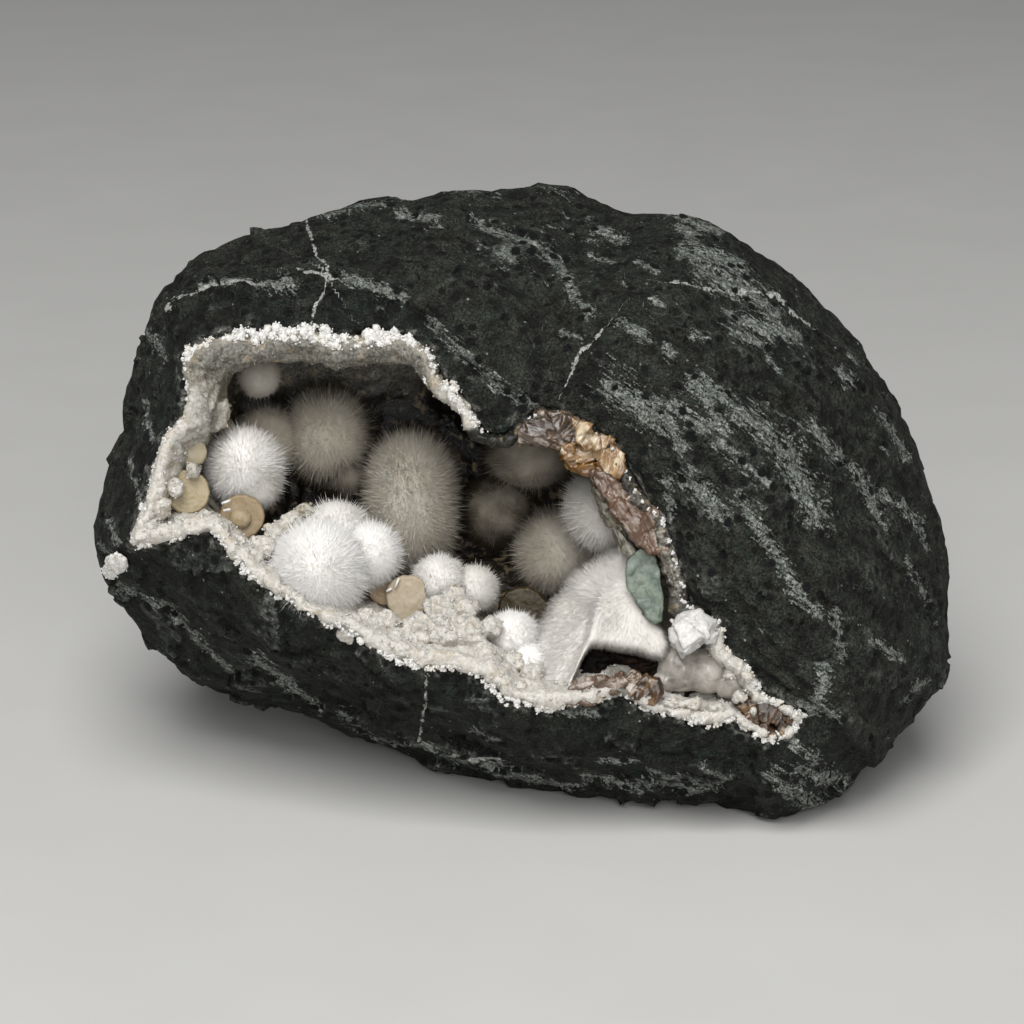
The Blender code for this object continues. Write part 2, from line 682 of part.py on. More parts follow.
def patch(stone):
    """A small island of crust that follows the side of the rock."""
    find = surface_finder(stone)
    u, v, wide, high = PATCH
    shares = (-1, -0.5, 0, 0.5, 1)
    form = bmesh.new()
    sheets = []
    for rise in (SEAT_GAP + 0.1, None):
        sheet = []
        for row in shares:
            line = []
            for column in shares:
                across = wide * column * math.sqrt(1 - 0.4 * row * row)
                up = high * row * math.sqrt(1 - 0.4 * column * column)
                place_u = u + across * math.cos(PATCH_TURN) - up * math.sin(PATCH_TURN)
                place_v = v + across * math.sin(PATCH_TURN) + up * math.cos(PATCH_TURN)
                edge = max(abs(row), abs(column)) == 1
                lift = rise or SEAT_GAP + 0.1 + PATCH_RISE * (0.4 if edge else 1)
                line.append(form.verts.new(find(place_u, place_v) + TOWARDS_EYE * lift * MM))
            sheet.append(line)
        sheets.append(sheet)
    last = len(shares) - 1
    for sheet in sheets:
        for row in range(last):
            for column in range(last):
                corners = sheet[row][column:column + 2] + sheet[row + 1][column:column + 2][::-1]
                form.faces.new(corners)
    rim = [(0, c) for c in range(last)] + [(r, last) for r in range(last)]
    rim += [(last, c) for c in range(last, 0, -1)] + [(r, 0) for r in range(last, 0, -1)]
    low, high_sheet = sheets
    for (row, column), (next_row, next_column) in zip(rim, rim[1:] + rim[:1]):
        form.faces.new((
            low[row][column], low[next_row][next_column],
            high_sheet[next_row][next_column], high_sheet[row][column],
        ))
    bmesh.ops.triangulate(form, faces=form.faces)
    return add_object("crust_patch_left", form, "crust")


def clear_scene():
    for obj in list(bpy.data.objects):
        bpy.data.objects.remove(obj)


def weld(obj):
    """Merges corners that the cuts left almost on top of each other."""
    step = obj.modifiers.new("weld", "WELD")
    step.merge_threshold = WELD


def seat(obj, air, neighbours):
    """Cuts a piece back to the air in the hollow, and clear of the balls that were there first."""
    weld(obj)
    combine(obj, air, "INTERSECT")
    for name in neighbours:
        keep_clear(obj, OKENITE[name], name)
    weld(obj)


def discs(air):
    for name, (u, v, depth, radius, thickness) in DISCS.items():
        foot = DISC_FOOT if name == "gyrolite_disc_front" else None
        outline = disc_outline(u, v, radius, foot)
        obj = prism(name, outline, depth - thickness / 2, thickness, "gyrolite", taper=0.94)
        seat(obj, air, DISC_NEIGHBOURS.get(name, ()))


def pocket(air):
    """A grey lining with a smooth scooped front."""
    obj = ball("chalcedony_pocket", POCKET, "chalcedony")
    combine(obj, ball("scoop", POCKET_SCOOP), "DIFFERENCE")
    seat(obj, air, ("okenite_fan",))
    chunk_room = prism("clear_of_chunk", CHUNK_OUTLINE, CHUNK_FRONT, CHUNK_THICKNESS + 0.5, taper=1)
    combine(obj, chunk_room, "DIFFERENCE")
    weld(obj)


def build():
    clear_scene()
    stone = rock()
    crust()
    patch(stone)
    air = room()
    for name, places in OKENITE.items():
        obj = rounded(name, places, "okenite")
        if name == "okenite_fan":
            combine(obj, prism("fin", FIN_OUTLINE, FIN_FRONT, FIN_THICKNESS, taper=0.35), "UNION")
        seat(obj, air, OKENITE_NEIGHBOURS.get(name, ()))
    for name, places in BEADS.items():
        seat(rounded(name, places, "gyrolite"), air, ())
    discs(air)
    for name, places in BLADES.items():
        seat(blades(name, places), air, BLADE_NEIGHBOURS.get(name, ()))
    seat(prism("green_plate", GREEN_OUTLINE, GREEN_FRONT, GREEN_THICKNESS, "green"), air, ())
    seat(prism("white_chunk", CHUNK_OUTLINE, CHUNK_FRONT, CHUNK_THICKNESS, "chalk", taper=0.6), air, ())
    pocket(air)


build()
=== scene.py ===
# %% [markdown]
# # Okenite puffballs in a basalt vug
#
# A loose lump of dark basalt has been broken open, and a gas hollow (a vug) shows inside it. The
# hollow is lined with a white, frilly crust. White puffballs of okenite sit in it, each a ball of
# hair-fine needles, with cream gyrolite discs, amber calcite, a green plate and a grey chalcedony
# pocket.
#
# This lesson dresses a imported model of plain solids. First it loads that model and sets the camera,
# then it makes each mineral from the solid that holds its place, and at the end it sets the floor and
# the light.

import math

import bpy
import numpy as np
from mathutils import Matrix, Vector


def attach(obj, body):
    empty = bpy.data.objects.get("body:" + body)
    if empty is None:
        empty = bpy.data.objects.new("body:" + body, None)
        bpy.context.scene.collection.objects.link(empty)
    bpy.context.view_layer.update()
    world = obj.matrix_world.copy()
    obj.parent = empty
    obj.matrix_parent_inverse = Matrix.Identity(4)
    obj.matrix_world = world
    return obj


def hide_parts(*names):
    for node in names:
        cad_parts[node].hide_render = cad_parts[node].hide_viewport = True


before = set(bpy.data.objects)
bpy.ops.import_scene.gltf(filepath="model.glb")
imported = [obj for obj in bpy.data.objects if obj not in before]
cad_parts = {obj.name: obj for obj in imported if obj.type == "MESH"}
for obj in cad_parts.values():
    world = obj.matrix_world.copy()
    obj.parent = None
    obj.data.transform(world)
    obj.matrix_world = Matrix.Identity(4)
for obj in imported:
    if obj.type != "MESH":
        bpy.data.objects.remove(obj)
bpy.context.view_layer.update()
print("solids:", len(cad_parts))

# %% [markdown]
# The open side of the lump leans back by 18 degrees. A drawing of it is the easiest place to say
# where things are, so places are written as they are read off a square drawing 1024 steps wide, in
# which one step is 0.2 mm on the open side. Two functions go between that drawing and the object.

# %% The drawing of the open side
MM = 0.001
LEAN = math.radians(18)
EYE_DISTANCE = 711.0
FACE_HEIGHT = 65.6
MIDDLE_X = 2.7
MIDDLE_Y = 40.9
STEP = 0.2
HALF_DRAWING = 512
TOWARDS_EYE = np.array((0.0, -math.cos(LEAN), math.sin(LEAN)))


def drawn(x, y):
    """A place in the drawing, as mm to the right and up from its middle."""
    return (x - HALF_DRAWING) * STEP, (HALF_DRAWING - y) * STEP


def on_open_side(points):
    """Metres in the object, as mm right, up and away from the eye on the open side."""
    x, y, z = (np.asarray(points) / MM + (MIDDLE_X, MIDDLE_Y, -FACE_HEIGHT)).T
    up = y * math.sin(LEAN) + z * math.cos(LEAN)
    depth = y * math.cos(LEAN) - z * math.sin(LEAN)
    spread = 1 + depth / EYE_DISTANCE
    return np.stack((x / spread, up / spread, depth), axis=1)


def in_object(places):
    """Mm right, up and away from the eye on the open side, as metres in the object."""
    u, v, depth = np.asarray(places, float).T
    spread = 1 + depth / EYE_DISTANCE
    y = v * spread * math.sin(LEAN) + depth * math.cos(LEAN) - MIDDLE_Y
    z = v * spread * math.cos(LEAN) - depth * math.sin(LEAN) + FACE_HEIGHT
    return np.stack((u * spread - MIDDLE_X, y, z), axis=1) * MM


print("middle of the drawing in the object:", in_object([(0, 0, 0)])[0].round(4))

# %% [markdown]
# The camera stands where the photographer stood: square to the open side, 711 mm away, so it looks
# down by 18 degrees. A long 125 mm lens keeps the lump free of distortion.

# %% Camera
camera = bpy.data.objects.new("camera", bpy.data.cameras.new("camera"))
bpy.context.scene.collection.objects.link(camera)
camera.location = in_object([(0, 0, -EYE_DISTANCE)])[0]
camera.rotation_euler = (math.pi / 2 - LEAN, 0, 0)
camera.data.lens = 125
camera.data.sensor_width = 36
camera.data.clip_start = 0.05
camera.data.clip_end = 10
bpy.context.scene.camera = camera
print("camera at", tuple(round(c, 3) for c in camera.location))

# %% [markdown]
# Natural surfaces are noise on many scales. Blender's own noise gives one number at a time, which is
# slow for a hundred thousand points, so this lesson has its own lattice noise: seeded random numbers
# on the corners of a grid, blended smoothly between them. It is the same in every run.

# %% Lattice noise
LATTICE_SIZE = 64
LATTICE = np.random.default_rng(4).random((LATTICE_SIZE,) * 3) * 2 - 1


def lattice_noise(places, size, seed):
    """Smooth noise from -1 to 1 whose lumps are about this size, at places in the same unit."""
    grid = np.asarray(places) / size + (3.7 * seed, 1.9 * seed, 5.3 * seed)
    cell = np.floor(grid).astype(int)
    share = grid - cell
    share = share * share * (3 - 2 * share)
    total = np.zeros(len(grid))
    for corner in np.ndindex(2, 2, 2):
        weight = np.prod(np.where(np.array(corner) == 1, share, 1 - share), axis=1)
        i, j, k = ((cell + corner) % LATTICE_SIZE).T
        total += weight * LATTICE[i, j, k]
    return total


def layered_noise(places, size, seed, layers):
    """Noise with finer and finer layers, each half the size of the last."""
    total = np.zeros(len(places))
    for layer in range(layers):
        total += 0.5**layer * lattice_noise(places, size / 2**layer, seed + layer)
    return total


print("noise lattice:", LATTICE.shape)

# %% [markdown]
# Broken stone isn't wavy: it has flat facets that meet in edges. The nearest of many random points
# decides which facet a place belongs to, and each point carries its own tilt and level. Soft ramps and
# the distance to a drawn path are needed again and again to say where something happens.

# %% Facets, ramps and paths
CELLS_SIZE = 32
CELLS = np.random.default_rng(8).random((CELLS_SIZE,) * 3 + (7,)) * 2 - 1


def facets(places, size, slope, seed):
    """Broken-rock relief: every patch of about this size is a plane with its own tilt and level."""
    grid = np.asarray(places) / size + (2.3 * seed, 4.1 * seed, 1.7 * seed)
    cell = np.floor(grid).astype(int)
    nearest = np.full(len(grid), 9.0)
    height = np.zeros(len(grid))
    for corner in np.ndindex(3, 3, 3):
        here = cell + np.array(corner) - 1
        i, j, k = (here % CELLS_SIZE).T
        draw = CELLS[i, j, k]
        away = grid - here - 0.5 - 0.42 * draw[:, :3]
        distance = (away**2).sum(axis=1)
        closer = distance < nearest
        nearest[closer] = distance[closer]
        height[closer] = (away * draw[:, 3:6]).sum(axis=1)[closer] + 0.25 * draw[closer, 6]
    return height * size * slope


def ease(values, low, high):
    """From 0 below low to 1 above high, with soft ends."""
    share = np.clip((values - low) / (high - low), 0, 1)
    return share * share * (3 - 2 * share)


def distance_to_path(places, path):
    """Distance in mm from flat places to a path, and the side that each place is on."""
    nearest = np.full(len(places), 1e9)
    side = np.zeros(len(places))
    for start, end in zip(path, path[1:]):
        start = np.array(start)
        run = np.array(end) - start
        away = places - start
        share = np.clip(away @ run / (run @ run), 0, 1)
        gap = away - share[:, None] * run
        distance = np.hypot(*gap.T)
        closer = distance < nearest
        nearest[closer] = distance[closer]
        side[closer] = np.sign(run[0] * away[closer, 1] - run[1] * away[closer, 0])
    return nearest, side


print("facet points:", CELLS[..., 0].size)

# %% [markdown]
# Colours are written as sRGB hex codes and turned to linear light in one place. One small function
# adds a shader node with its settings and its links, which keeps each material short enough to read
# as a recipe. Patterns read Object coordinates in metres, so their scale comes from a size in mm. A
# noise texture seldom leaves the middle of its range, so a Map Range stretches it to run from 0 to 1.

# %% Helpers for materials
NOISE_LOW = 0.36
NOISE_HIGH = 0.66


def colour(code):
    """An sRGB hex colour as linear red, green, blue and alpha."""
    parts = [int(code[i:i + 2], 16) / 255 for i in (1, 3, 5)]
    return (*(p / 12.92 if p <= 0.04045 else ((p + 0.055) / 1.055) ** 2.4 for p in parts), 1.0)


def add_node(kind, sockets=None, **settings):
    """Adds a shader node to the material that was started last.

    Each socket gets a constant, a colour by its code, or a link. A link comes from another node's output,
    or from its first output where the node itself is given.
    """
    node = tree.nodes.new("ShaderNode" + kind)
    for name, value in settings.items():
        setattr(node, name, value)
    for name, value in (sockets or {}).items():
        if isinstance(value, bpy.types.Node):
            value = value.outputs[0]
        if isinstance(value, bpy.types.NodeSocket):
            tree.links.new(value, node.inputs[name])
        else:
            node.inputs[name].default_value = colour(value) if isinstance(value, str) else value
    return node


def start_finish(name, **shader_sockets):
    """Starts the material that add_node then adds to: it, its shader and the Object coordinates."""
    global tree
    made = bpy.data.materials.new(name)
    made.use_nodes = True
    tree = made.node_tree
    shader = tree.nodes["Principled BSDF"]
    for socket, value in shader_sockets.items():
        shader.inputs[socket.replace("_", " ")].default_value = value
    return made, shader, add_node("TexCoord").outputs["Object"]


def per(size):
    """The scale of a pattern on Object coordinates whose features are this many mm."""
    return 1 / (size * MM)


print("rock black:", [round(c, 4) for c in colour("#20221f")])

# %% [markdown]
# New pieces start from the solid that holds their place. The solid's triangles come in loose, so a
# copy of it is merged first. A helper then adds one modifier and applies it, as one would by hand.

# %% Helpers for pieces


def only(obj):
    """Makes this the one selected and active object."""
    bpy.ops.object.select_all(action="DESELECT")
    obj.select_set(True)
    bpy.context.view_layer.objects.active = obj


def edit_all(obj, operator, **settings):
    """Runs one mesh operator on all of a piece, in edit mode."""
    only(obj)
    bpy.ops.object.mode_set(mode="EDIT")
    bpy.ops.mesh.select_all(action="SELECT")
    operator(**settings)
    bpy.ops.object.mode_set(mode="OBJECT")


def copy_of(node, name):
    """A merged copy of a solid, as a new piece."""
    obj = bpy.data.objects.new(name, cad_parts[node].data.copy())
    obj.data.name = name
    obj.data.materials.clear()
    bpy.context.scene.collection.objects.link(obj)
    edit_all(obj, bpy.ops.mesh.remove_doubles, threshold=1e-6)
    return obj


def shape_with(obj, kind, **settings):
    """Adds a modifier and applies it."""
    only(obj)
    step = obj.modifiers.new(kind.lower(), kind)
    for name, value in settings.items():
        setattr(step, name, value)
    bpy.ops.object.modifier_apply(modifier=step.name)


def remeshed(obj, voxel, smooth):
    """Rebuilds a piece of even squares of this many mm, and smooths it so many times."""
    shape_with(obj, "REMESH", mode="VOXEL", voxel_size=voxel * MM)
    shape_with(obj, "SMOOTH", factor=0.5, iterations=smooth)


def corners_of(obj):
    """The places and the normals of a mesh's corners."""
    count = len(obj.data.vertices)
    places = np.empty(count * 3, np.float32)
    normals = np.empty(count * 3, np.float32)
    obj.data.vertices.foreach_get("co", places)
    obj.data.vertices.foreach_get("normal", normals)
    return places.reshape(-1, 3).astype(float), normals.reshape(-1, 3).astype(float)


def move_corners(obj, places):
    """Puts the corners at new places."""
    obj.data.vertices.foreach_set("co", np.asarray(places, np.float32).ravel())
    obj.data.update()


def carve(obj, relief):
    """Moves each corner along its normal by what relief gives for its place, all in mm."""
    places, normals = corners_of(obj)
    move_corners(obj, places + normals * relief(places / MM)[:, None] * MM)
    only(obj)
    bpy.ops.object.shade_smooth()


def note_on(obj, name, values):
    """Stores a number for each corner, which a material can read by name."""
    layer = obj.data.attributes.new(name, "FLOAT", "POINT")
    layer.data.foreach_set("value", np.asarray(values, np.float32))


def note_way_on(obj, name, values):
    """Stores three numbers for each corner."""
    layer = obj.data.attributes.new(name, "FLOAT_VECTOR", "POINT")
    layer.data.foreach_set("vector", np.asarray(values, np.float32).ravel())


def piece_from(name, places, triangles):
    """A mesh straight from arrays, for what grows by the thousand."""
    mesh = bpy.data.meshes.new(name)
    mesh.vertices.add(len(places))
    mesh.vertices.foreach_set("co", np.asarray(places, np.float32).ravel())
    mesh.loops.add(triangles.size)
    mesh.loops.foreach_set("vertex_index", np.asarray(triangles, np.int32).ravel())
    mesh.polygons.add(len(triangles))
    mesh.polygons.foreach_set("loop_start", np.arange(0, triangles.size, 3, dtype=np.int32))
    mesh.update(calc_edges=True)
    obj = bpy.data.objects.new(name, mesh)
    bpy.context.scene.collection.objects.link(obj)
    return obj


def merged(name, form, copies):
    """One mesh of several copies of a form, given the corners of each copy."""
    corners, triangles = form
    linked = [triangles + len(corners) * index for index in range(len(copies))]
    return piece_from(name, np.concatenate(copies), np.concatenate(linked))


def settle(obj, material, replaced=()):
    """Gives a piece its material, rides it on the lump, and hides the solids that it stands in for."""
    obj.data.materials.clear()
    obj.data.materials.append(material)
    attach(obj, "root")
    if replaced:
        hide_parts(*replaced)
    count = sum(len(face.vertices) - 2 for face in obj.data.polygons)
    print(obj.name, count, "triangles")


print("loose corners of the solids:", sum(len(node.data.vertices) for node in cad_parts.values()))

# %% [markdown]
# The rim of the hollow matters twice: the crust frills out along it, and the rock is broken fresh
# around it. It is a closed path of places, each with its depth and the width of the frill there, all in
# mm.

# %% The rim of the hollow
RIM = (
    (-76.2, -6.6, 2, 0.9), (-74.8, -1.6, 2, 0.9), (-72.8, 3.0, 3, 0.9), (-71.0, 10.0, 3, 0.8),
    (-69.2, 15.6, 3, 0.7), (-65.4, 18.8, 3, 0.5), (-65.0, 24.8, 4, 0.5), (-65.8, 30.4, 4, 1.0),
    (-61.4, 34.0, 4, 1.4), (-55.4, 35.6, 4, 1.6), (-48.0, 35.6, 5, 1.5), (-41.4, 36.2, 5, 1.6),
    (-35.4, 34.4, 5, 1.4), (-28.4, 35.0, 4, 1.5), (-21.4, 35.0, 4, 1.6), (-16.8, 32.0, 3, 0.7),
    (-14.4, 26.4, 2, 1.2), (-9.4, 22.6, 1, 1.3), (-5.6, 15.6, 0, 0.0), (-1.2, 14.4, -1, 0.0),
    (1.4, 18.2, -1, 0.12), (8.0, 20.2, -2, 0.16), (13.6, 18.0, -2, 0.2), (20.0, 13.2, -3, 0.25),
    (22.8, 8.4, -3, 0.3), (25.8, 2.4, -3, 0.35), (30.0, -0.8, -3, 0.4), (31.8, -7.2, -2, 0.4),
    (33.8, -13.6, -2, 0.45), (34.4, -18.4, -2, 0.3), (38.0, -19.8, -2, 0.3), (41.6, -22.0, -2, 0.4),
    (42.2, -27.2, -1, 0.8), (47.2, -31.0, -1, 0.9), (50.0, -36.6, 0, 0.8), (54.8, -38.4, 0, 0.8),
    (58.2, -41.2, 1, 0.9), (56.0, -44.6, 2, 0.8), (52.6, -46.0, 1, 0.7), (48.6, -44.4, 1, 0.8),
    (43.6, -41.2, 0, 0.9), (38.6, -42.4, -1, 0.9), (32.0, -40.8, -2, 0.7), (25.6, -39.0, -2, 0.4),
    (21.6, -36.2, -3, 0.35), (15.6, -38.4, -4, 0.6), (7.6, -39.8, -5, 0.9), (-0.4, -38.0, -5, 0.9),
    (-6.0, -33.2, -5, 0.8), (-11.4, -31.2, -5, 0.6), (-19.4, -31.2, -5, 0.8), (-26.4, -28.0, -5, 0.8),
    (-33.4, -23.4, -5, 0.6), (-41.4, -20.2, -4, 0.6), (-47.4, -16.0, -3, 0.7), (-52.4, -12.6, -3, 0.7),
    (-56.8, -8.6, -2, 0.7), (-59.6, -3.8, -1, 0.6), (-64.6, -4.4, 0, 0.7), (-70.6, -5.8, 1, 0.9),
)
rim_path = [place[:2] for place in RIM + RIM[:1]]
print("rim:", len(RIM), "places")

# %% [markdown]
# ## The basalt
#
# Basalt is a fine-grained dark lava. This lump has a natural rounded outside with pale scratches and
# small pits, and a fresh, darker break around the hollow, which runs in ledges. A voxel remesh turns
# the solid's long facets into even squares of 2 mm, and the side that shows is subdivided further.

# %% Even squares over the rock


def face_middles(obj):
    """The middle, normal and area of every face."""
    faces = obj.data.polygons
    middles = np.empty(len(faces) * 3, np.float32)
    facing = np.empty(len(faces) * 3, np.float32)
    areas = np.empty(len(faces), np.float32)
    faces.foreach_get("center", middles)
    faces.foreach_get("normal", facing)
    faces.foreach_get("area", areas)
    return middles.reshape(-1, 3).astype(float), facing.reshape(-1, 3).astype(float), areas.astype(float)


def subdivide_where(obj, picked, cuts):
    """Cuts the picked faces into finer ones."""
    only(obj)
    bpy.ops.object.mode_set(mode="EDIT")
    bpy.ops.mesh.select_mode(type="FACE")
    bpy.ops.mesh.select_all(action="DESELECT")
    bpy.ops.object.mode_set(mode="OBJECT")
    obj.data.polygons.foreach_set("select", picked)
    bpy.ops.object.mode_set(mode="EDIT")
    bpy.ops.mesh.subdivide(number_cuts=cuts)
    bpy.ops.object.mode_set(mode="OBJECT")


ROCK_SQUARE = 2.02
HOLLOW_END = 60
FRONT_END = 40
rock = copy_of("basalt_matrix", "basalt_lump")
remeshed(rock, ROCK_SQUARE, 4)
middles, facing, _ = face_middles(rock)
middles = on_open_side(middles.astype(np.float32))
gap, side = distance_to_path(middles[:, :2], rim_path)
in_hollow = (side < 0) & (gap > 1.5) & (middles[:, 2] > 1) & (middles[:, 2] < HOLLOW_END)
shows = (facing @ TOWARDS_EYE > 0.26) & (middles[:, 2] < FRONT_END) & ~in_hollow
subdivide_where(rock, shows, 2)
print("rock corners:", len(rock.data.vertices), "faces cut finer:", int(shows.sum()))

# %% [markdown]
# The ledge line is where the fresh break meets the natural skin. Everything above it and to its right
# is natural; everything below it, down to the hollow and around its foot, is broken.

# %% Where the rock is broken and where it is natural
LEDGE_LINE = [drawn(x, y) for x, y in (
    (120, 420), (160, 318), (200, 292), (300, 286), (400, 296), (430, 318),
    (480, 368), (520, 398), (560, 412), (600, 425), (640, 470), (665, 530),
    (690, 590), (730, 640), (790, 690), (830, 712), (870, 760), (900, 820),
)]
places, normals = corners_of(rock)
side_places = on_open_side(places)
ledge_gap, ledge_side = distance_to_path(side_places[:, :2], LEDGE_LINE)
natural = ease(ledge_gap * ledge_side, -1.2, 1.2)
LEFT_EDGE = [drawn(x, y) for x, y in (
    (178, 270), (166, 320), (160, 380), (146, 430), (128, 490), (118, 560), (100, 620),
)]
left_gap, left_side = distance_to_path(side_places[:, :2], LEFT_EDGE)
natural = np.maximum(natural, ease(-left_gap * left_side, -1, 1))
natural[side_places[:, 2] > HOLLOW_END] = 1
mm = places / MM
print("natural share:", round(float(natural.mean()), 2))

# %% [markdown]
# The corners are now moved along their normals: sharp facets where the stone is broken, softer ones
# with shallow lumps and pits where it is natural, and a raised ledge between the two. Close to the rim
# all of it calms down, so that the crust still fits.

# %% Facets, ledges, lumps and pits
slanted = np.stack((
    side_places[:, 0] * 0.82 - side_places[:, 1] * 0.57,
    (side_places[:, 0] * 0.57 + side_places[:, 1] * 0.82) * 1.7,
    side_places[:, 2],
), axis=1)
wander = np.stack([layered_noise(mm, 4, 7 + k, layers=3) for k in range(3)], axis=1)
broken_form = (
    facets(mm + 1.0 * wander, 13, 0.15, 1)
    + facets(mm + 0.6 * wander, 5, 0.18, 2)
    + 0.34 * layered_noise(mm, 2.4, 21, layers=2)
)
natural_form = (
    0.5 * layered_noise(mm, 16, 31, layers=2)
    + facets(slanted + 1.0 * wander, 10, 0.11, 3)
    + facets(mm + 0.6 * wander, 3.6, 0.09, 4)
    + 0.26 * layered_noise(slanted * (0.5, 1.2, 1), 4.5, 35, layers=3)
    - 0.6 * ease(lattice_noise(mm, 2.1, 41), 0.42, 0.7)
)
step_up = ledge_gap * ledge_side
ledge_form = 0.8 * ease(step_up, -0.8, 0.4) * ease(-step_up, -6, 0)
ledge_form -= 1.0 * ease(-step_up, 0, 1.2) * ease(step_up, -9, -2)
ledge_form[side_places[:, 2] > FRONT_END] = 0
rim_gap = distance_to_path(side_places[:, :2], rim_path)[0]
calm = np.where(side_places[:, 2] < 30, 0.2 + 0.8 * ease(rim_gap, 0.5, 5), 1)
rise = (natural * natural_form + (1 - natural) * broken_form + ledge_form) * calm
places += normals * rise[:, None] * MM
places[:, 2] = np.maximum(places[:, 2], 0)
move_corners(rock, places)
bpy.ops.object.shade_smooth()
print("rock relief in mm:", rise.min().round(2), "to", rise.max().round(2))

# %% [markdown]
# What is only colour on the stone is stored as numbers on its corners. Pale scuffs run down to the
# right across the natural side. Hair-thin white veins are stored as a distance to the vein, which
# stays exact between corners, so a vein far thinner than a square of the mesh is still sharp.

# %% Scuffs and veins, as they are drawn
SCUFFS = (
    (345, 279, 405, 297, 7), (262, 284, 292, 287, 8), (202, 287, 250, 282, 4), (430, 322, 480, 368, 8),
    (475, 222, 520, 240, 7), (520, 240, 560, 265, 8), (560, 265, 575, 300, 7), (575, 300, 590, 312, 7),
    (600, 232, 625, 240, 7), (400, 215, 440, 222, 6), (503, 256, 512, 260, 8), (679, 227, 697, 238, 8),
    (682, 249, 730, 280, 10), (693, 245, 745, 274, 8), (708, 252, 741, 263, 6),
    (704, 271, 756, 293, 14), (754, 298, 774, 315, 13), (730, 315, 792, 337, 12),
    (730, 333, 767, 346, 7), (693, 335, 708, 338, 6), (620, 324, 646, 337, 7), (668, 348, 673, 359, 6),
    (638, 263, 657, 272, 4), (840, 370, 851, 384, 8), (785, 272, 800, 282, 3), (851, 355, 858, 362, 5),
    (767, 355, 781, 373, 3), (613, 390, 662, 420, 20), (660, 401, 706, 428, 9), (660, 410, 682, 447, 9),
    (697, 382, 761, 426, 14), (745, 415, 792, 456, 16), (699, 388, 723, 432, 9),
    (785, 450, 818, 516, 18), (719, 443, 767, 482, 8), (690, 478, 725, 516, 13),
    (767, 403, 811, 432, 3), (814, 425, 833, 456, 9), (840, 450, 877, 502, 9), (877, 410, 906, 458, 6),
    (884, 494, 917, 520, 9), (741, 494, 758, 530, 8), (668, 477, 670, 519, 7), (758, 530, 778, 557, 9),
    (778, 557, 803, 600, 10), (800, 598, 818, 612, 8), (835, 615, 842, 655, 8), (825, 665, 818, 705, 9),
    (800, 705, 835, 715, 8), (870, 640, 905, 662, 6), (905, 500, 930, 550, 5), (450, 190, 500, 196, 4),
    (320, 214, 395, 203, 5), (540, 188, 580, 196, 5), (660, 212, 720, 232, 5), (486, 376, 520, 402, 8),
    (520, 398, 545, 412, 6), (590, 255, 612, 262, 4), (560, 330, 580, 338, 4), (870, 500, 885, 530, 6),
    (905, 560, 925, 600, 5), (650, 300, 662, 306, 4), (120, 582, 170, 610, 4), (170, 610, 230, 675, 5),
    (255, 655, 282, 682, 7), (285, 682, 320, 712, 6), (340, 715, 372, 735, 6), (372, 740, 440, 746, 5),
    (440, 757, 500, 762, 6), (500, 770, 580, 790, 5), (585, 775, 640, 790, 5), (650, 775, 720, 784, 6),
    (775, 780, 820, 810, 15), (800, 770, 850, 785, 9), (790, 740, 815, 760, 8), (700, 765, 730, 775, 5),
    (600, 760, 640, 766, 4), (640, 785, 700, 790, 5), (560, 710, 600, 716, 6), (110, 520, 118, 545, 5),
    (140, 400, 150, 440, 4), (130, 460, 140, 500, 4), (150, 330, 160, 360, 4), (100, 545, 112, 560, 5),
    (880, 770, 900, 740, 5), (850, 800, 880, 775, 6), (905, 700, 925, 680, 5), (470, 730, 500, 738, 3),
)
VEINS = (
    ((308, 228), (313, 243), (317, 258), (326, 268)), ((328, 272), (325, 290), (316, 303), (311, 325)),
    ((612, 318), (603, 328), (596, 340), (580, 352), (572, 372), (565, 386)),
    ((668, 283), (699, 285), (730, 289), (754, 292), (778, 296), (789, 309), (812, 324)),
    ((428, 668), (425, 690), (427, 706), (421, 722), (420, 740)),
    ((418, 740), (440, 750), (470, 752), (500, 759)),
    ((170, 312), (176, 300), (205, 289), (240, 284), (262, 285)), ((300, 274), (330, 281), (345, 280)),
)
SCUFF_SPREAD = 1.6
FAR_FROM_VEINS = 9.0
scuff = np.zeros(len(side_places))
for x0, y0, x1, y1, width in SCUFFS:
    gap, _ = distance_to_path(side_places[:, :2], [drawn(x0, y0), drawn(x1, y1)])
    scuff = np.maximum(scuff, 1 - gap / (SCUFF_SPREAD * width * STEP))
behind = ease(side_places[:, 2], 40, 55)
strewn = ease(layered_noise(slanted * (0.3, 1, 0.5), 5, 51, layers=3), 0.55, 0.95) * 0.75
scuff = np.maximum(scuff * (1 - behind), strewn * np.maximum(behind, 0.55 * natural))
vein_gap = np.full(len(side_places), FAR_FROM_VEINS)
vein_side = np.ones(len(side_places))
for path in VEINS:
    gap, side = distance_to_path(side_places[:, :2], [drawn(x, y) for x, y in path])
    closer = gap < vein_gap
    vein_gap[closer] = gap[closer]
    vein_side[closer] = side[closer]
vein_gap[side_places[:, 2] > 52] = FAR_FROM_VEINS
note_on(rock, "natural", natural)
note_on(rock, "scuff", scuff)
note_on(rock, "vein", vein_gap * vein_side)
note_on(rock, "relief", natural_form * natural + broken_form * (1 - natural))
powder = 1 - ease(rim_gap + 1.6 * lattice_noise(mm, 1.4, 61), 0.3, 1.6)
note_on(rock, "powder", powder * (side_places[:, 2] < 12))
note_way_on(rock, "along", slanted)
print("scuffed share:", round(float((scuff > 0.3).mean()), 3))

# %% [markdown]
# Fresh basalt is nearly black with a green cast and a felt of tiny grains; weathered basalt is greyer
# and browner. The stone is dull, so its roughness is high. Grains too fine for the mesh are left to the
# bump: 0.45 mm and 1.1 mm, a little coarser than real so that they show.

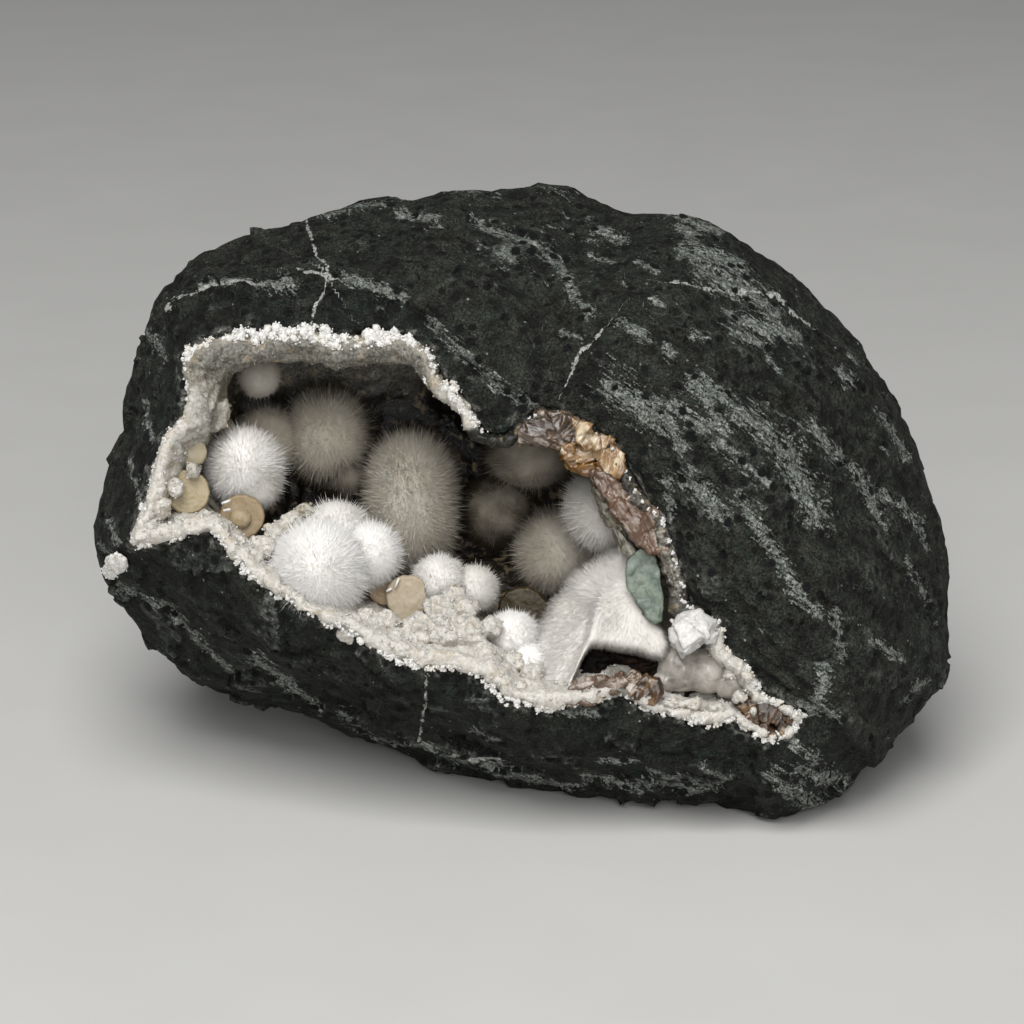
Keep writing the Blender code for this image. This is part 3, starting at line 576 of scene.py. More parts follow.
# %% Weathered basalt
basalt, shader, place = start_finish("weathered_basalt", Roughness=0.8, Specular_IOR_Level=0.3)
grain = add_node("MapRange", {
    "Value": add_node("TexNoise", {
        "Vector": place, "Scale": per(0.45), "Detail": 2.0, "Roughness": 0.6}),
    "From Min": NOISE_LOW, "From Max": NOISE_HIGH,
})
crumb = add_node("MapRange", {
    "Value": add_node("TexNoise", {
        "Vector": place, "Scale": per(1.1), "Detail": 3.0, "Roughness": 0.6}),
    "From Min": NOISE_LOW, "From Max": NOISE_HIGH,
})
mottle = add_node("MapRange", {
    "Value": add_node("TexNoise", {"Vector": place, "Scale": per(4), "Detail": 4.0, "Roughness": 0.6}),
    "From Min": NOISE_LOW, "From Max": NOISE_HIGH,
})
broad = add_node("MapRange", {
    "Value": add_node("TexNoise", {
        "Vector": place, "Scale": per(15), "Detail": 3.0, "Roughness": 0.55}),
    "From Min": NOISE_LOW, "From Max": NOISE_HIGH,
})
natural_share = add_node("Attribute", attribute_name="natural").outputs["Fac"]
fresh = add_node("MixRGB", {"Fac": grain, "Color1": "#101410", "Color2": "#363c35"})
skin = add_node("MixRGB", {"Fac": grain, "Color1": "#1b1e19", "Color2": "#4f534a"})
stone = add_node("MixRGB", {"Fac": natural_share, "Color1": fresh, "Color2": skin})
stone = add_node("MixRGB", {
    "Fac": add_node("Math", {0: broad, 1: 0.55}, operation="MULTIPLY"), "Color1": stone,
    "Color2": add_node("MixRGB", {"Fac": grain, "Color1": "#1a1c16", "Color2": "#48473c"}),
})
green_specks = add_node("MapRange", {
    "Value": add_node("MapRange", {
        "Value": add_node("TexNoise", {
            "Vector": place, "Scale": per(1.7), "Detail": 3.0, "Roughness": 0.7}),
        "From Min": NOISE_LOW, "From Max": NOISE_HIGH,
    }),
    "From Min": 0.62, "From Max": 0.9, "To Max": 0.5,
})
stone = add_node("MixRGB", {"Fac": green_specks, "Color1": stone, "Color2": "#25372f"})
stone = add_node("MixRGB", {
    "Fac": 1.0, "Color1": stone,
    "Color2": add_node("MixRGB", {"Fac": mottle, "Color1": "#676966", "Color2": "#ffffff"}),
}, blend_type="MULTIPLY")
print("stone colours mixed")

# %% [markdown]
# The pale scuffs are torn patches, not painted lines: the stored strokes only say where they may be, and
# noise at three sizes tears their edges and speckles their inside. White veins swell and pinch. Pits
# are random dark dots, and raised edges are rubbed paler.

# %% Scuffs, veins and pits on the basalt
brushed_way = add_node("Mapping", {
    "Vector": add_node("Attribute", attribute_name="along").outputs["Vector"],
    "Scale": (0.26, 0.8, 0.7)}).outputs["Vector"]
torn = add_node("MapRange", {
    "Value": add_node("TexNoise", {
        "Vector": brushed_way, "Scale": 1.0, "Detail": 5.0, "Roughness": 0.68}),
    "From Min": 0.38, "From Max": 0.64,
})
scuff_level = add_node("Math", {
    0: add_node("Math", {
        0: torn, 1: 0.85, 2: add_node("Math", {0: grain, 1: 0.34}, operation="MULTIPLY"),
    }, operation="MULTIPLY_ADD"),
    1: add_node("Attribute", attribute_name="scuff").outputs["Fac"],
}, operation="ADD")
scuffed = add_node("MapRange", {"Value": scuff_level, "From Min": 1.1, "From Max": 1.4})
rubbed = add_node("Math", {
    0: add_node("MapRange", {
        "Value": add_node("Attribute", attribute_name="relief").outputs["Fac"], "From Min": 0.6,
        "From Max": 1.5, "To Max": 0.4,
    }),
    1: crumb,
}, operation="MULTIPLY")
pale = add_node("Math", {
    0: add_node("Math", {
        0: scuffed, 1: add_node("MapRange", {"Value": grain, "From Min": -0.35, "From Max": 0.75}),
    }, operation="MULTIPLY"),
    1: rubbed,
}, operation="MAXIMUM")
stone = add_node("MixRGB", {
    "Fac": pale, "Color1": stone,
    "Color2": add_node("MixRGB", {"Fac": crumb, "Color1": "#6a706a", "Color2": "#b3b7af"}),
})
specks = add_node("TexVoronoi", {"Vector": place, "Scale": per(1.9), "Randomness": 1.0})
speck_pick = add_node("SeparateColor", {"Color": specks.outputs["Color"]})
speck_share = add_node("Math", {
    0: add_node("MapRange", {
        "Value": specks.outputs["Distance"], "From Min": 0.16, "From Max": 0.09, "To Max": 0.8}),
    1: add_node("MapRange", {"Value": speck_pick.outputs["Red"], "From Min": 0.84, "From Max": 0.9}),
}, operation="MULTIPLY")
stone = add_node("MixRGB", {"Fac": speck_share, "Color1": stone, "Color2": "#9ea29b"})
vein_width = add_node("MapRange", {
    "Value": add_node("MapRange", {
        "Value": add_node("TexNoise", {
            "Vector": place, "Scale": per(2.4), "Detail": 3.0, "Roughness": 0.7}),
        "From Min": NOISE_LOW, "From Max": NOISE_HIGH,
    }),
    "From Min": 0.1, "From Max": 0.8, "To Max": 0.42,
})
vein_gap_here = add_node("Math", {
    0: add_node("Math", {
        0: add_node("Attribute", attribute_name="vein").outputs["Fac"]}, operation="ABSOLUTE"),
    1: add_node("Math", {0: crumb, 1: 0.3, 2: -0.15}, operation="MULTIPLY_ADD"),
}, operation="ADD")
vein_share = add_node("MapRange", {
    "Value": add_node("Math", {0: vein_gap_here, 1: vein_width}, operation="SUBTRACT"),
    "From Min": 0.05, "From Max": -0.06, "To Max": 0.85,
})
stone = add_node("MixRGB", {"Fac": vein_share, "Color1": stone, "Color2": "#c6c7c1"})
stone = add_node("MixRGB", {
    "Fac": add_node("Math", {
        0: add_node("Attribute", attribute_name="powder").outputs["Fac"], 1: crumb,
    }, operation="MULTIPLY"),
    "Color1": stone, "Color2": "#8d8c85",
})
pits = add_node("TexVoronoi", {"Vector": place, "Scale": per(3.1), "Randomness": 1.0})
pit_pick = add_node("SeparateColor", {"Color": pits.outputs["Color"]})
pit_share = add_node("Math", {
    0: add_node("MapRange", {"Value": pits.outputs["Distance"], "From Min": 0.36, "From Max": 0.26}),
    1: add_node("MapRange", {"Value": pit_pick.outputs["Red"], "From Min": 0.34, "From Max": 0.4}),
}, operation="MULTIPLY")
stone = add_node("MixRGB", {"Fac": pit_share, "Color1": stone, "Color2": "#070807"})
tree.links.new(stone.outputs["Color"], shader.inputs["Base Color"])
fine_height = add_node("Math", {0: pit_share, 1: -1.4, 2: grain}, operation="MULTIPLY_ADD")
fine_bump = add_node("Bump", {"Height": fine_height, "Strength": 0.8, "Distance": 0.3 * MM})
crumb_bump = add_node("Bump", {
    "Height": crumb, "Strength": 0.9, "Distance": 0.75 * MM, "Normal": fine_bump.outputs["Normal"]})
mottle_bump = add_node("Bump", {
    "Height": mottle, "Strength": 0.8, "Distance": 1.5 * MM, "Normal": crumb_bump.outputs["Normal"]})
tree.links.new(mottle_bump.outputs["Normal"], shader.inputs["Normal"])
settle(rock, basalt, ["basalt_matrix"])

# %% [markdown]
# ## The white crust
#
# The hollow is lined with a skin of tiny crystals: chalk white and cauliflower-like at the rim and on
# the floor, grey and glassy further in, brown at the back, where painted shade darkens it further. The
# lining is remeshed, then billowed: noise whose valleys are creased and whose hills are round, as
# crystals grow.

# %% The lining


def billows(places, size, seed):
    """Round lumps with creases between them, from 0 to about 1."""
    return 1 - np.abs(lattice_noise(places, size, seed)) * 2.2


def frill_width(places):
    """How wide the frill is at the nearest part of the rim, in mm."""
    path = np.array(RIM + RIM[:1], float)
    nearest = np.full(len(places), 1e9)
    width = np.zeros(len(places))
    for start, end in zip(path, path[1:]):
        run = end[:2] - start[:2]
        share = np.clip((places[:, :2] - start[:2]) @ run / (run @ run), 0, 1)
        gap = np.hypot(*(places[:, :2] - start[:2] - share[:, None] * run).T)
        closer = gap < nearest
        nearest[closer] = gap[closer]
        width[closer] = (start[3] + share * (end[3] - start[3]))[closer]
    return width


def note_depth(obj):
    """Stores each corner's depth and height in mm, where painted shade greys the crust, and where it is
    worn or bare.
    """
    at = on_open_side(corners_of(obj)[0])
    note_on(obj, "depth", at[:, 2])
    note_on(obj, "height", at[:, 1])
    gap, side = distance_to_path(at[:, :2], rim_path)
    inward = ease(np.where(side < 0, gap, 0), 0.6, 2.2)
    # Painted shade: under the roof and on the upper left wall, where the overhang shades the crust.
    roof = ease(at[:, 1], 22, 30)
    left_wall = 0.45 * ease(-at[:, 0], 54, 60) * ease(at[:, 1], 4, 12)
    note_on(obj, "shade", inward * np.maximum(roof, left_wall))
    note_on(obj, "worn", ease(at[:, 0], 19, 23) * ease(at[:, 1], -20, -16))
    note_on(obj, "bare", (1 - ease(frill_width(at), 0.25, 0.5)) * (1 - ease(at[:, 2], 3, 9)))


def lining(name, node, voxel, height):
    """A crust piece: remeshed, finer near the rim, billowed, with its depth stored on it."""
    obj = copy_of(node, name)
    remeshed(obj, voxel, 2)
    middles, facing, _ = face_middles(obj)
    near = (on_open_side(middles)[:, 2] < FINE_CRUST_END) & (facing @ TOWARDS_EYE > -0.3)
    subdivide_where(obj, near, 1)
    carve(obj, lambda mm: height * (
        0.7 * billows(mm, 3.4, 71) + 0.5 * billows(mm, 1.7, 72) + 0.12 * billows(mm, 0.9, 73)))
    note_depth(obj)
    return obj


FINE_CRUST_END = 13
crust = lining("drusy_lining", "vug_crust", 0.95, 0.85)
patch = lining("crust_island", "crust_patch_left", 0.34, 0.8)
print("lining corners:", len(crust.data.vertices))

# %% [markdown]
# The crust's colour follows its depth: white in the first few mm, then a warm translucent grey, then
# brown, partly its own tone and partly painted shade, which goes nearly black at the back. Painted
# shade also darkens the roof sooner, so the floor stays white further in than the roof. Under the roof
# and on the left wall a grey painted shade lies over it. A little subsurface light makes it milky.

# %% Druse crust
def crust_finish(name, white, grey, brown, roughness):
    """White near the rim, then grey, then brown with depth, then painted shade nearly black at the back;
    painted shade darkens the roof sooner, so the floor stays white further in.
    """
    made, shader, place = start_finish(
        name, Roughness=roughness, Specular_IOR_Level=0.5, Subsurface_Weight=0.4,
        Subsurface_Radius=(1.0, 0.88, 0.72), Subsurface_Scale=1.4 * MM)
    fine = add_node("MapRange", {
        "Value": add_node("TexNoise", {
            "Vector": place, "Scale": per(0.6), "Detail": 3.0, "Roughness": 0.6}),
        "From Min": NOISE_LOW, "From Max": NOISE_HIGH,
    })
    level = add_node("Math", {
        0: add_node("MapRange", {
            "Value": add_node("TexNoise", {
                "Vector": place, "Scale": per(4), "Detail": 4.0, "Roughness": 0.6}),
            "From Min": NOISE_LOW, "From Max": NOISE_HIGH,
        }),
        1: 7.0, 2: add_node("Attribute", attribute_name="depth").outputs["Fac"],
    }, operation="MULTIPLY_ADD")
    # Painted shade: higher parts, and the roof most, count as deeper, so they darken sooner than the
    # floor.
    level = add_node("Math", {
        0: level,
        1: add_node("MapRange", {
            "Value": add_node("Attribute", attribute_name="height").outputs["Fac"], "From Min": -14.0,
            "From Max": 22.0, "To Max": 9.0,
        }),
    }, operation="ADD")
    level = add_node("Math", {
        0: level,
        1: add_node("MapRange", {
            "Value": add_node("Attribute", attribute_name="height").outputs["Fac"], "From Min": 22.0,
            "From Max": 30.0, "To Max": 9.0,
        }),
    }, operation="ADD")
    # Partly the crust's own tone and partly painted shade: grey, then brown with depth.
    hue = add_node("MixRGB", {
        "Fac": add_node("MapRange", {"Value": level, "From Min": 12.5, "From Max": 18.0}),
        "Color1": white, "Color2": grey,
    })
    hue = add_node("MixRGB", {
        "Fac": add_node("MapRange", {"Value": level, "From Min": 19.0, "From Max": 36.0}),
        "Color1": hue, "Color2": brown,
    })
    # Painted shade: deep in the hollow the crust goes nearly black.
    hue = add_node("MixRGB", {
        "Fac": add_node("MapRange", {"Value": level, "From Min": 34.0, "From Max": 52.0}),
        "Color1": hue, "Color2": "#130f0a",
    })
    # Painted shade: grey under the roof and on the left wall.
    hue = add_node("MixRGB", {
        "Fac": add_node("Attribute", attribute_name="shade").outputs["Fac"], "Color1": hue,
        "Color2": add_node("MixRGB", {"Fac": fine, "Color1": "#5f5d57", "Color2": "#8a877d"}),
    })
    pitted = add_node("MixRGB", {
        "Fac": add_node("MapRange", {
            "Value": add_node("TexNoise", {
                "Vector": place, "Scale": per(1.2), "Detail": 3.0, "Roughness": 0.6}),
            "From Min": NOISE_LOW, "From Max": NOISE_HIGH,
        }),
        "Color1": "#3b342a", "Color2": "#b5b0a6",
    })
    hue = add_node("MixRGB", {
        "Fac": add_node("Attribute", attribute_name="worn").outputs["Fac"], "Color1": hue,
        "Color2": pitted,
    })
    hue = add_node("MixRGB", {
        "Fac": add_node("Attribute", attribute_name="bare").outputs["Fac"], "Color1": hue,
        "Color2": "#262722",
    })
    hue = add_node("MixRGB", {
        "Fac": add_node("MapRange", {
            "Value": add_node("MapRange", {
                "Value": add_node("TexNoise", {
                    "Vector": place, "Scale": per(2.6), "Detail": 3.0, "Roughness": 0.55}),
                "From Min": NOISE_LOW, "From Max": NOISE_HIGH,
            }),
            "From Min": 0.7, "From Max": 1.0, "To Max": 0.35,
        }),
        "Color1": hue, "Color2": "#c2ad8a",
    })
    hue = add_node("MixRGB", {
        "Fac": 1.0, "Color1": hue,
        "Color2": add_node("MixRGB", {"Fac": fine, "Color1": "#dcdad5", "Color2": "#ffffff"}),
    }, blend_type="MULTIPLY")
    tree.links.new(hue.outputs["Color"], shader.inputs["Base Color"])
    bump = add_node("Bump", {"Height": fine, "Strength": 0.5, "Distance": 0.25 * MM})
    tree.links.new(bump.outputs["Normal"], shader.inputs["Normal"])
    return made


druse_crust = crust_finish("druse_crust", "#d3cfc8", "#a9a396", "#2e281e", 0.4)
settle(crust, druse_crust, ["vug_crust"])

# %% [markdown]
# Along the rim the crust breaks out in a frill of small knobs, like coral, and inside it glitters with
# blocky crystals under a millimetre across. Both are thousands of copies of one small form, each with
# its own size, turn and bend, set on places picked at random on the crust's own faces.

# %% Small forms to repeat
random = np.random.default_rng(17)


def taken_apart(obj):
    """A piece's corners, normals and triangles; the piece itself is removed."""
    edit_all(obj, bpy.ops.mesh.quads_convert_to_tris)
    places, normals = corners_of(obj)
    triangles = np.array([face.vertices[:] for face in obj.data.polygons])
    bpy.data.objects.remove(obj)
    return places, normals, triangles


def form_of(add, **settings):
    """The corners and triangles of a small primitive, which is then thrown away."""
    add(**settings)
    places, _, triangles = taken_apart(bpy.context.active_object)
    return places, triangles


def random_ways(count):
    """Evenly spread random directions."""
    ways = random.normal(size=(count, 3))
    return ways / np.linalg.norm(ways, axis=1, keepdims=True)


def random_turns(count):
    """Evenly spread random rotations, as matrices."""
    turn = random.normal(size=(4, count))
    a, b, c, d = turn / np.linalg.norm(turn, axis=0)
    return np.stack((
        1 - 2 * (c * c + d * d), 2 * (b * c - a * d), 2 * (b * d + a * c),
        2 * (b * c + a * d), 1 - 2 * (b * b + d * d), 2 * (c * d - a * b),
        2 * (b * d - a * c), 2 * (c * d + a * b), 1 - 2 * (b * b + c * c),
    ), axis=1).reshape(-1, 3, 3)


def scattered(name, form, places, sizes, unevenness):
    """One mesh of many turned copies; sizes has one length per axis for each copy, in mm."""
    corners, triangles = form
    count = len(places)
    copies = corners[None] * sizes[:, None, :] * MM
    copies *= 1 + unevenness * random.uniform(-1, 1, size=(count, len(corners), 1))
    copies = np.einsum("nij,nkj->nki", random_turns(count), copies) + places[:, None]
    linked = triangles[None] + (np.arange(count) * len(corners))[:, None, None]
    return piece_from(name, copies.reshape(-1, 3), linked.reshape(-1, 3))


def places_on(obj, count, keep):
    """Random places on the faces that keep(middles, facing the eye) gives a weight, with normals."""
    middles, facing, areas = face_middles(obj)
    weights = areas * keep(on_open_side(middles), facing @ TOWARDS_EYE)
    picked = random.choice(len(areas), count, p=weights / weights.sum())
    spread = np.sqrt(areas[picked])[:, None] * random.uniform(-0.5, 0.5, (count, 3))
    return middles[picked] + spread, facing[picked]


bead = form_of(bpy.ops.mesh.primitive_ico_sphere_add, subdivisions=1, radius=1)
block = form_of(bpy.ops.mesh.primitive_cube_add, size=1.4)
boulder = form_of(bpy.ops.mesh.primitive_ico_sphere_add, subdivisions=4, radius=1)
print("bead:", len(bead[1]), "triangles, block:", len(block[1]), "boulder:", len(boulder[1]))

# %% [markdown]
# The frill is a crowd of lobes along the rim, pushed in and out by noise so that it never runs as an
# even cord. Each lobe is a heart with eleven smaller beads on it, and stray beads lie around it on the
# stone. Its finish is powder white, a little translucent.

# %% The frill along the rim
LOBES = 740
BEADS_EACH = 11
STRAYS = 260


def frill_lobes(count):
    """Middles and radii in mm of the frill's lobes, more and bigger where the frill is wide."""
    path = np.array(RIM + RIM[:1], float)
    runs = np.linalg.norm(np.diff(path[:, :2], axis=0), axis=1)
    chance = runs * (path[:-1, 3] + path[1:, 3])
    picked = random.choice(len(runs), count, p=chance / chance.sum())
    share = random.random((count, 1))
    along = path[picked] * (1 - share) + path[picked + 1] * share
    turn = np.diff(path[:, :2], axis=0)[picked]
    outwards = np.stack((-turn[:, 1], turn[:, 0]), axis=1)
    outwards /= np.linalg.norm(outwards, axis=1, keepdims=True)
    width = along[:, 3]
    waver = 0.9 * lattice_noise(along[:, :3], 3.2, 81) + 0.5 * lattice_noise(along[:, :3], 1.2, 82)
    push = (0.15 + width) * (random.uniform(-1.4, 0.4, count) + 0.85 * waver)
    along[:, :2] += outwards * push[:, None]
    along[:, 2] += -1.3 + 0.55 * np.abs(push + 0.5 * width) + random.uniform(-0.35, 0.35, count)
    return in_object(along[:, :3]), (0.06 + 0.58 * width) * random.uniform(0.5, 1.3, count)


def grains_on(middles, radii, each, low, high):
    """Bead places and sizes over the surface of lobes."""
    around = np.repeat(np.arange(len(middles)), each)
    away = random_ways(len(around)) * radii[around, None]
    places = middles[around] + away * random.uniform(0.75, 1.08, (len(around), 1)) * MM
    sizes = random.uniform(low, high, (len(around), 1)) * random.uniform(0.7, 1.3, (len(around), 3))
    return places, sizes


lobe_middles, lobe_radii = frill_lobes(LOBES)
grain_places, grain_sizes = grains_on(lobe_middles, lobe_radii, BEADS_EACH, 0.13, 0.33)
heart_sizes = np.repeat(lobe_radii[:, None], 3, axis=1) * random.uniform(0.7, 1.1, (LOBES, 3))
stray_middles, _ = frill_lobes(STRAYS)
stray_places = stray_middles + random_ways(STRAYS) * 0.9 * MM
patch_places, _ = places_on(patch, STRAYS, lambda at, eye: 1.0 * (eye > -0.2))
stray_sizes = random.uniform(0.1, 0.26, (2 * STRAYS, 3))
frill = scattered(
    "coral_frill", bead, np.concatenate((grain_places, lobe_middles, stray_places, patch_places)),
    np.concatenate((grain_sizes, heart_sizes, stray_sizes)), 0.22)
print("frill lobes:", len(lobe_middles))

frill_white, shader, place = start_finish(
    "powdery_white_frill", Roughness=0.6, Specular_IOR_Level=0.4, Subsurface_Weight=0.25,
    Subsurface_Radius=(1.0, 0.9, 0.8), Subsurface_Scale=0.8 * MM)
frill_hue = add_node("MixRGB", {
    "Fac": add_node("MapRange", {
        "Value": add_node("TexNoise", {
            "Vector": place, "Scale": per(0.8), "Detail": 3.0, "Roughness": 0.55}),
        "From Min": NOISE_LOW, "From Max": NOISE_HIGH,
    }),
    "Color1": "#cbc8c2", "Color2": "#e9e7e3",
})
frill_hue = add_node("MixRGB", {
    "Fac": add_node("MapRange", {
        "Value": add_node("MapRange", {
            "Value": add_node("TexNoise", {
                "Vector": place, "Scale": per(6), "Detail": 3.0, "Roughness": 0.55}),
            "From Min": NOISE_LOW, "From Max": NOISE_HIGH,
        }),
        "From Min": 0.6, "From Max": 1.0, "To Max": 0.5,
    }),
    "Color1": frill_hue, "Color2": "#cbc1ac",
})
tree.links.new(frill_hue.outputs["Color"], shader.inputs["Base Color"])
settle(frill, frill_white)
settle(patch, frill_white, ["crust_patch_left"])

# %% [markdown]
# Lumps of the same druse stand on the floor behind the lower rim and on the left wall. Each is a ball
# with big and small folds. A remesh grows them together, and facets and billows then roughen them. A
# row is a place in the drawing, a radius in its steps, a depth in mm and how tall the lump is.

# %% Lumps of druse
LUMPS = (
    (205, 398, 14, 3.8, 1.7), (199, 426, 11, 3.6, 1.0), (217, 414, 12, 7.6, 1.5),
    (212, 374, 11, 5.2, 1.0), (193, 470, 8, 2.4, 1.0), (174, 486, 9, 1.4, 1.2),
    (162, 508, 10, 0.8, 1.2), (150, 528, 9, 0.4, 1.0), (184, 520, 11, 1.6, 0.7),
    (206, 517, 10, 2.4, 0.7), (222, 528, 11, 1.6, 0.9), (236, 544, 13, 0.8, 0.9),
    (250, 558, 14, 0.0, 0.9), (262, 547, 14, 2.4, 0.9), (276, 535, 15, 5.0, 0.9),
    (292, 524, 14, 8.0, 0.9), (306, 512, 11, 12.0, 0.8), (268, 574, 12, -1.6, 0.8),
    (350, 622, 13, -2.4, 0.7), (368, 616, 12, -0.6, 0.8), (374, 634, 14, -2.8, 0.7),
    (396, 640, 16, -2.8, 0.8), (386, 622, 13, 0.0, 0.9), (418, 632, 18, -1.2, 1.0),
    (438, 612, 16, 2.4, 1.0), (446, 636, 18, -2.6, 0.9), (462, 612, 16, 1.4, 1.1),
    (472, 636, 16, -2.2, 1.0), (484, 655, 13, -3.6, 0.9), (412, 652, 12, -4.0, 0.7),
    (490, 628, 12, 0.4, 1.0), (454, 594, 12, 5.0, 0.9), (500, 676, 14, -4.0, 0.9),
    (518, 690, 13, -4.4, 0.7), (542, 700, 12, -4.4, 0.6), (532, 674, 12, -2.0, 0.9),
    (714, 708, 10, -1.2, 0.6), (692, 704, 10, -2.2, 0.7), (740, 698, 9, -1.0, 0.7),
    (728, 674, 8, -0.6, 1.1), (672, 704, 9, -2.4, 0.7), (752, 712, 7, -0.4, 0.7),
    (512, 662, 14, 1.0, 0.8), (346, 636, 10, -4.0, 0.6),
)


def billowed_lump(x, y, radius, depth, tall):
    """The corners of one lump of druse."""
    corners, _ = boulder
    wide = radius * STEP
    seed = int(x + y) % 40
    fold = 0.13 * billows(corners, 0.8, seed) + 0.1 * billows(corners, 0.4, seed + 1)
    fold += 0.05 * billows(corners, 0.18, seed + 2)
    u, v = drawn(x, y)
    places = corners * (0.86 + fold)[:, None] * (wide, wide * tall, wide) + (u, v, depth + 0.3 * wide)
    return in_object(places)


lumps = merged("druse_lumps", boulder, [billowed_lump(*lump) for lump in LUMPS])
remeshed(lumps, 0.4, 4)
carve(lumps, lambda mm: (
    facets(mm, 2.6, 0.3, 12) + 0.4 * billows(mm, 2.0, 74) + 0.14 * billows(mm, 0.9, 75) - 0.2))
note_depth(lumps)
settle(lumps, crust_finish("milky_druse", "#d0ccc5", "#b9b4a8", "#8b8473", 0.3))

# %% [markdown]
# Blocky crystals glitter on the lining and on the lumps. They are small cubes, sunk into the surface or
# standing a little out of it, more of them near the rim than deep inside.

# %% Glittering crystals on the lining
LINING_CRYSTALS = 4200
HEAP_CRYSTALS = 1000
lining_places, lining_normals = places_on(
    crust, LINING_CRYSTALS,
    lambda at, eye: (eye > -0.15) * (at[:, 2] < 42) * (1 + 2.5 * (at[:, 2] < 14)))
heap_places, heap_normals = places_on(lumps, HEAP_CRYSTALS, lambda at, eye: 1.0 * (eye > -0.2))
druse_places = np.concatenate((lining_places, heap_places))
druse_normals = np.concatenate((lining_normals, heap_normals))
druse_places += druse_normals * random.uniform(-0.15, 0.15, (len(druse_places), 1)) * MM
druse_sizes = random.uniform(0.1, 0.34, (len(druse_places), 1))
druse_sizes = druse_sizes * random.uniform(0.7, 1.4, (len(druse_places), 3))
druse = scattered("druse_crystals", block, druse_places, druse_sizes, 0.05)
note_depth(druse)
settle(druse, crust_finish("glassy_druse", "#d8d5ce", "#b3ad9f", "#4b4436", 0.14))

# %% [markdown]
# ## The puffballs
#
# Okenite grows as balls of needles finer than hair, so soft that they look like cotton. Hair particles
# are lost when a model is exported, so each needle is a real spike: three sides and a foot, four
# triangles. A felted core inside stops the eye, and the needles stand out of it to the ball's reach.
# The needles don't all end together: most stop near the surface and a few stray beyond it.
#
# A row is a ball's middle (right, up, depth) and half sizes (wide, high, deep) in mm, how many needles
# it may have, and half the length of a straight part between its two halves.

# %% The puffballs' places
PUFFS = {
    "okenite_ball_left": (
        (-53.4, 9.0, 15.0, 8.3, 8.2, 8.8, 13200, 0.0),
        (-51.8, 5.8, 14.8, 6.2, 5.9, 6.8, 3800, 0.0),
    ),
    "okenite_cluster_left": (
        (-36.9, 15.3, 38.0, 10.0, 10.0, 13.0, 13500, 0.5),
        (-48.6, 14.4, 36.0, 8.0, 7.6, 10.0, 7000, 0.0),
        (-33.4, 9.6, 43.6, 8.6, 9.0, 12.6, 4200, 0.0),
    ),
    "okenite_column": ((-20.3, 1.6, 36.0, 10.3, 10.4, 14.2, 30000, 5.2),),
    "okenite_cluster_front": (
        (-38.8, -11.8, 4.0, 10.4, 10.2, 10.2, 22500, 0.0),
        (-28.6, -8.4, 9.8, 7.0, 6.8, 7.0, 8000, 0.0),
        (-35.2, -4.8, 14.0, 8.0, 7.4, 8.4, 8800, 0.0),
    ),
    "okenite_pair_low": (
        (-14.6, -13.8, 13.0, 5.7, 5.5, 5.2, 6600, 0.0),
        (-7.6, -15.4, 15.4, 5.2, 5.0, 5.0, 5200, 0.0),
    ),
    "okenite_ball_low": (
        (0.0, -25.2, 8.0, 6.0, 5.7, 6.0, 7600, 0.0),
        (3.2, -30.8, 5.8, 5.8, 5.6, 5.0, 4800, 0.0),
    ),
    "okenite_ball_right": ((19.4, 0.6, 17.4, 9.6, 9.2, 8.8, 11800, 0.0),),
    "okenite_cluster_back": (
        (3.6, 11.2, 40.0, 10.4, 7.8, 12.0, 5600, 0.0),
        (-2.8, 0.0, 44.0, 8.8, 8.4, 12.0, 5400, 0.0),
        (9.6, -8.0, 34.0, 10.0, 9.8, 11.0, 10000, 0.0),
    ),
    "okenite_ball_roof": ((-50.6, 27.6, 26.0, 4.6, 4.9, 4.6, 4500, 0.0),),
}
needle_total = sum(lump[6] for lumps in PUFFS.values() for lump in lumps)
print("needles at most:", needle_total)

# %% [markdown]
# A ball's own axes lean with the open side. Its straight part pulls its two halves apart. Noise leans
# neighbouring needles together into tufts. Fluff passes light on to its shaded side, so the directions
# that it is shaded by lean to the open side, where the light comes from.

# %% The shape of a ball
GLINT = 0.2
OPEN_WAY = np.array((0, -0.7, 0.7))
SOFTENING = 0.5
core_form = form_of(bpy.ops.mesh.primitive_ico_sphere_add, subdivisions=3, radius=1)
LEANING = np.array(((1, 0, 0), -TOWARDS_EYE, (0, math.sin(LEAN), math.cos(LEAN))))


def lump_frame(lump):
    """Where a lump's middle is, its half sizes along the leaning axes, and its straight part's share."""
    u, v, depth, wide, high, deep, _, straight = lump
    spread = 1 + depth / EYE_DISTANCE
    middle = in_object([(u, v, depth)])[0]
    return middle, LEANING * (np.array((wide, deep, high)) * spread * MM)[:, None], straight / high


def raised(ways, share):
    """Pulls the two halves of a ball apart, so that it has a straight part between them."""
    return np.column_stack((0 * ways[:, :2], share * np.tanh(2.4 * ways[:, 2])))


def clumped(ways, seed):
    """Leans neighbouring needles together into small tufts."""
    lean = np.stack([
        lattice_noise(ways, 0.1, seed + k) + lattice_noise(ways, 0.45, seed + 3 + k) for k in range(3)
    ], axis=1)
    ways = ways + 0.034 * lean
    return ways / np.linalg.norm(ways, axis=1, keepdims=True)


def facing_of(ways, lump):
    """Which way a lump's surface is shaded where these ways meet it, leaning to the open side."""
    ways = ways / (lump[3], lump[5], lump[4])
    return (ways / np.linalg.norm(ways, axis=1, keepdims=True)) @ LEANING + SOFTENING * OPEN_WAY


def glints(ways):
    """A shading direction for each needle's four corners: its own way, turned a little at random."""
    return np.repeat(ways + GLINT * random_ways(len(ways)), 4, axis=0)


print("core:", len(core_form[1]), "triangles")

# %% [markdown]
# A needle's root lies inside the core, and its reach falls off exponentially, as if each needle had the
# same chance to stop growing at any moment. Needles at the back and inside another ball are left out,
# because nobody sees them. Reach is a share of the ball's half size, and a foot's radius is in mm.

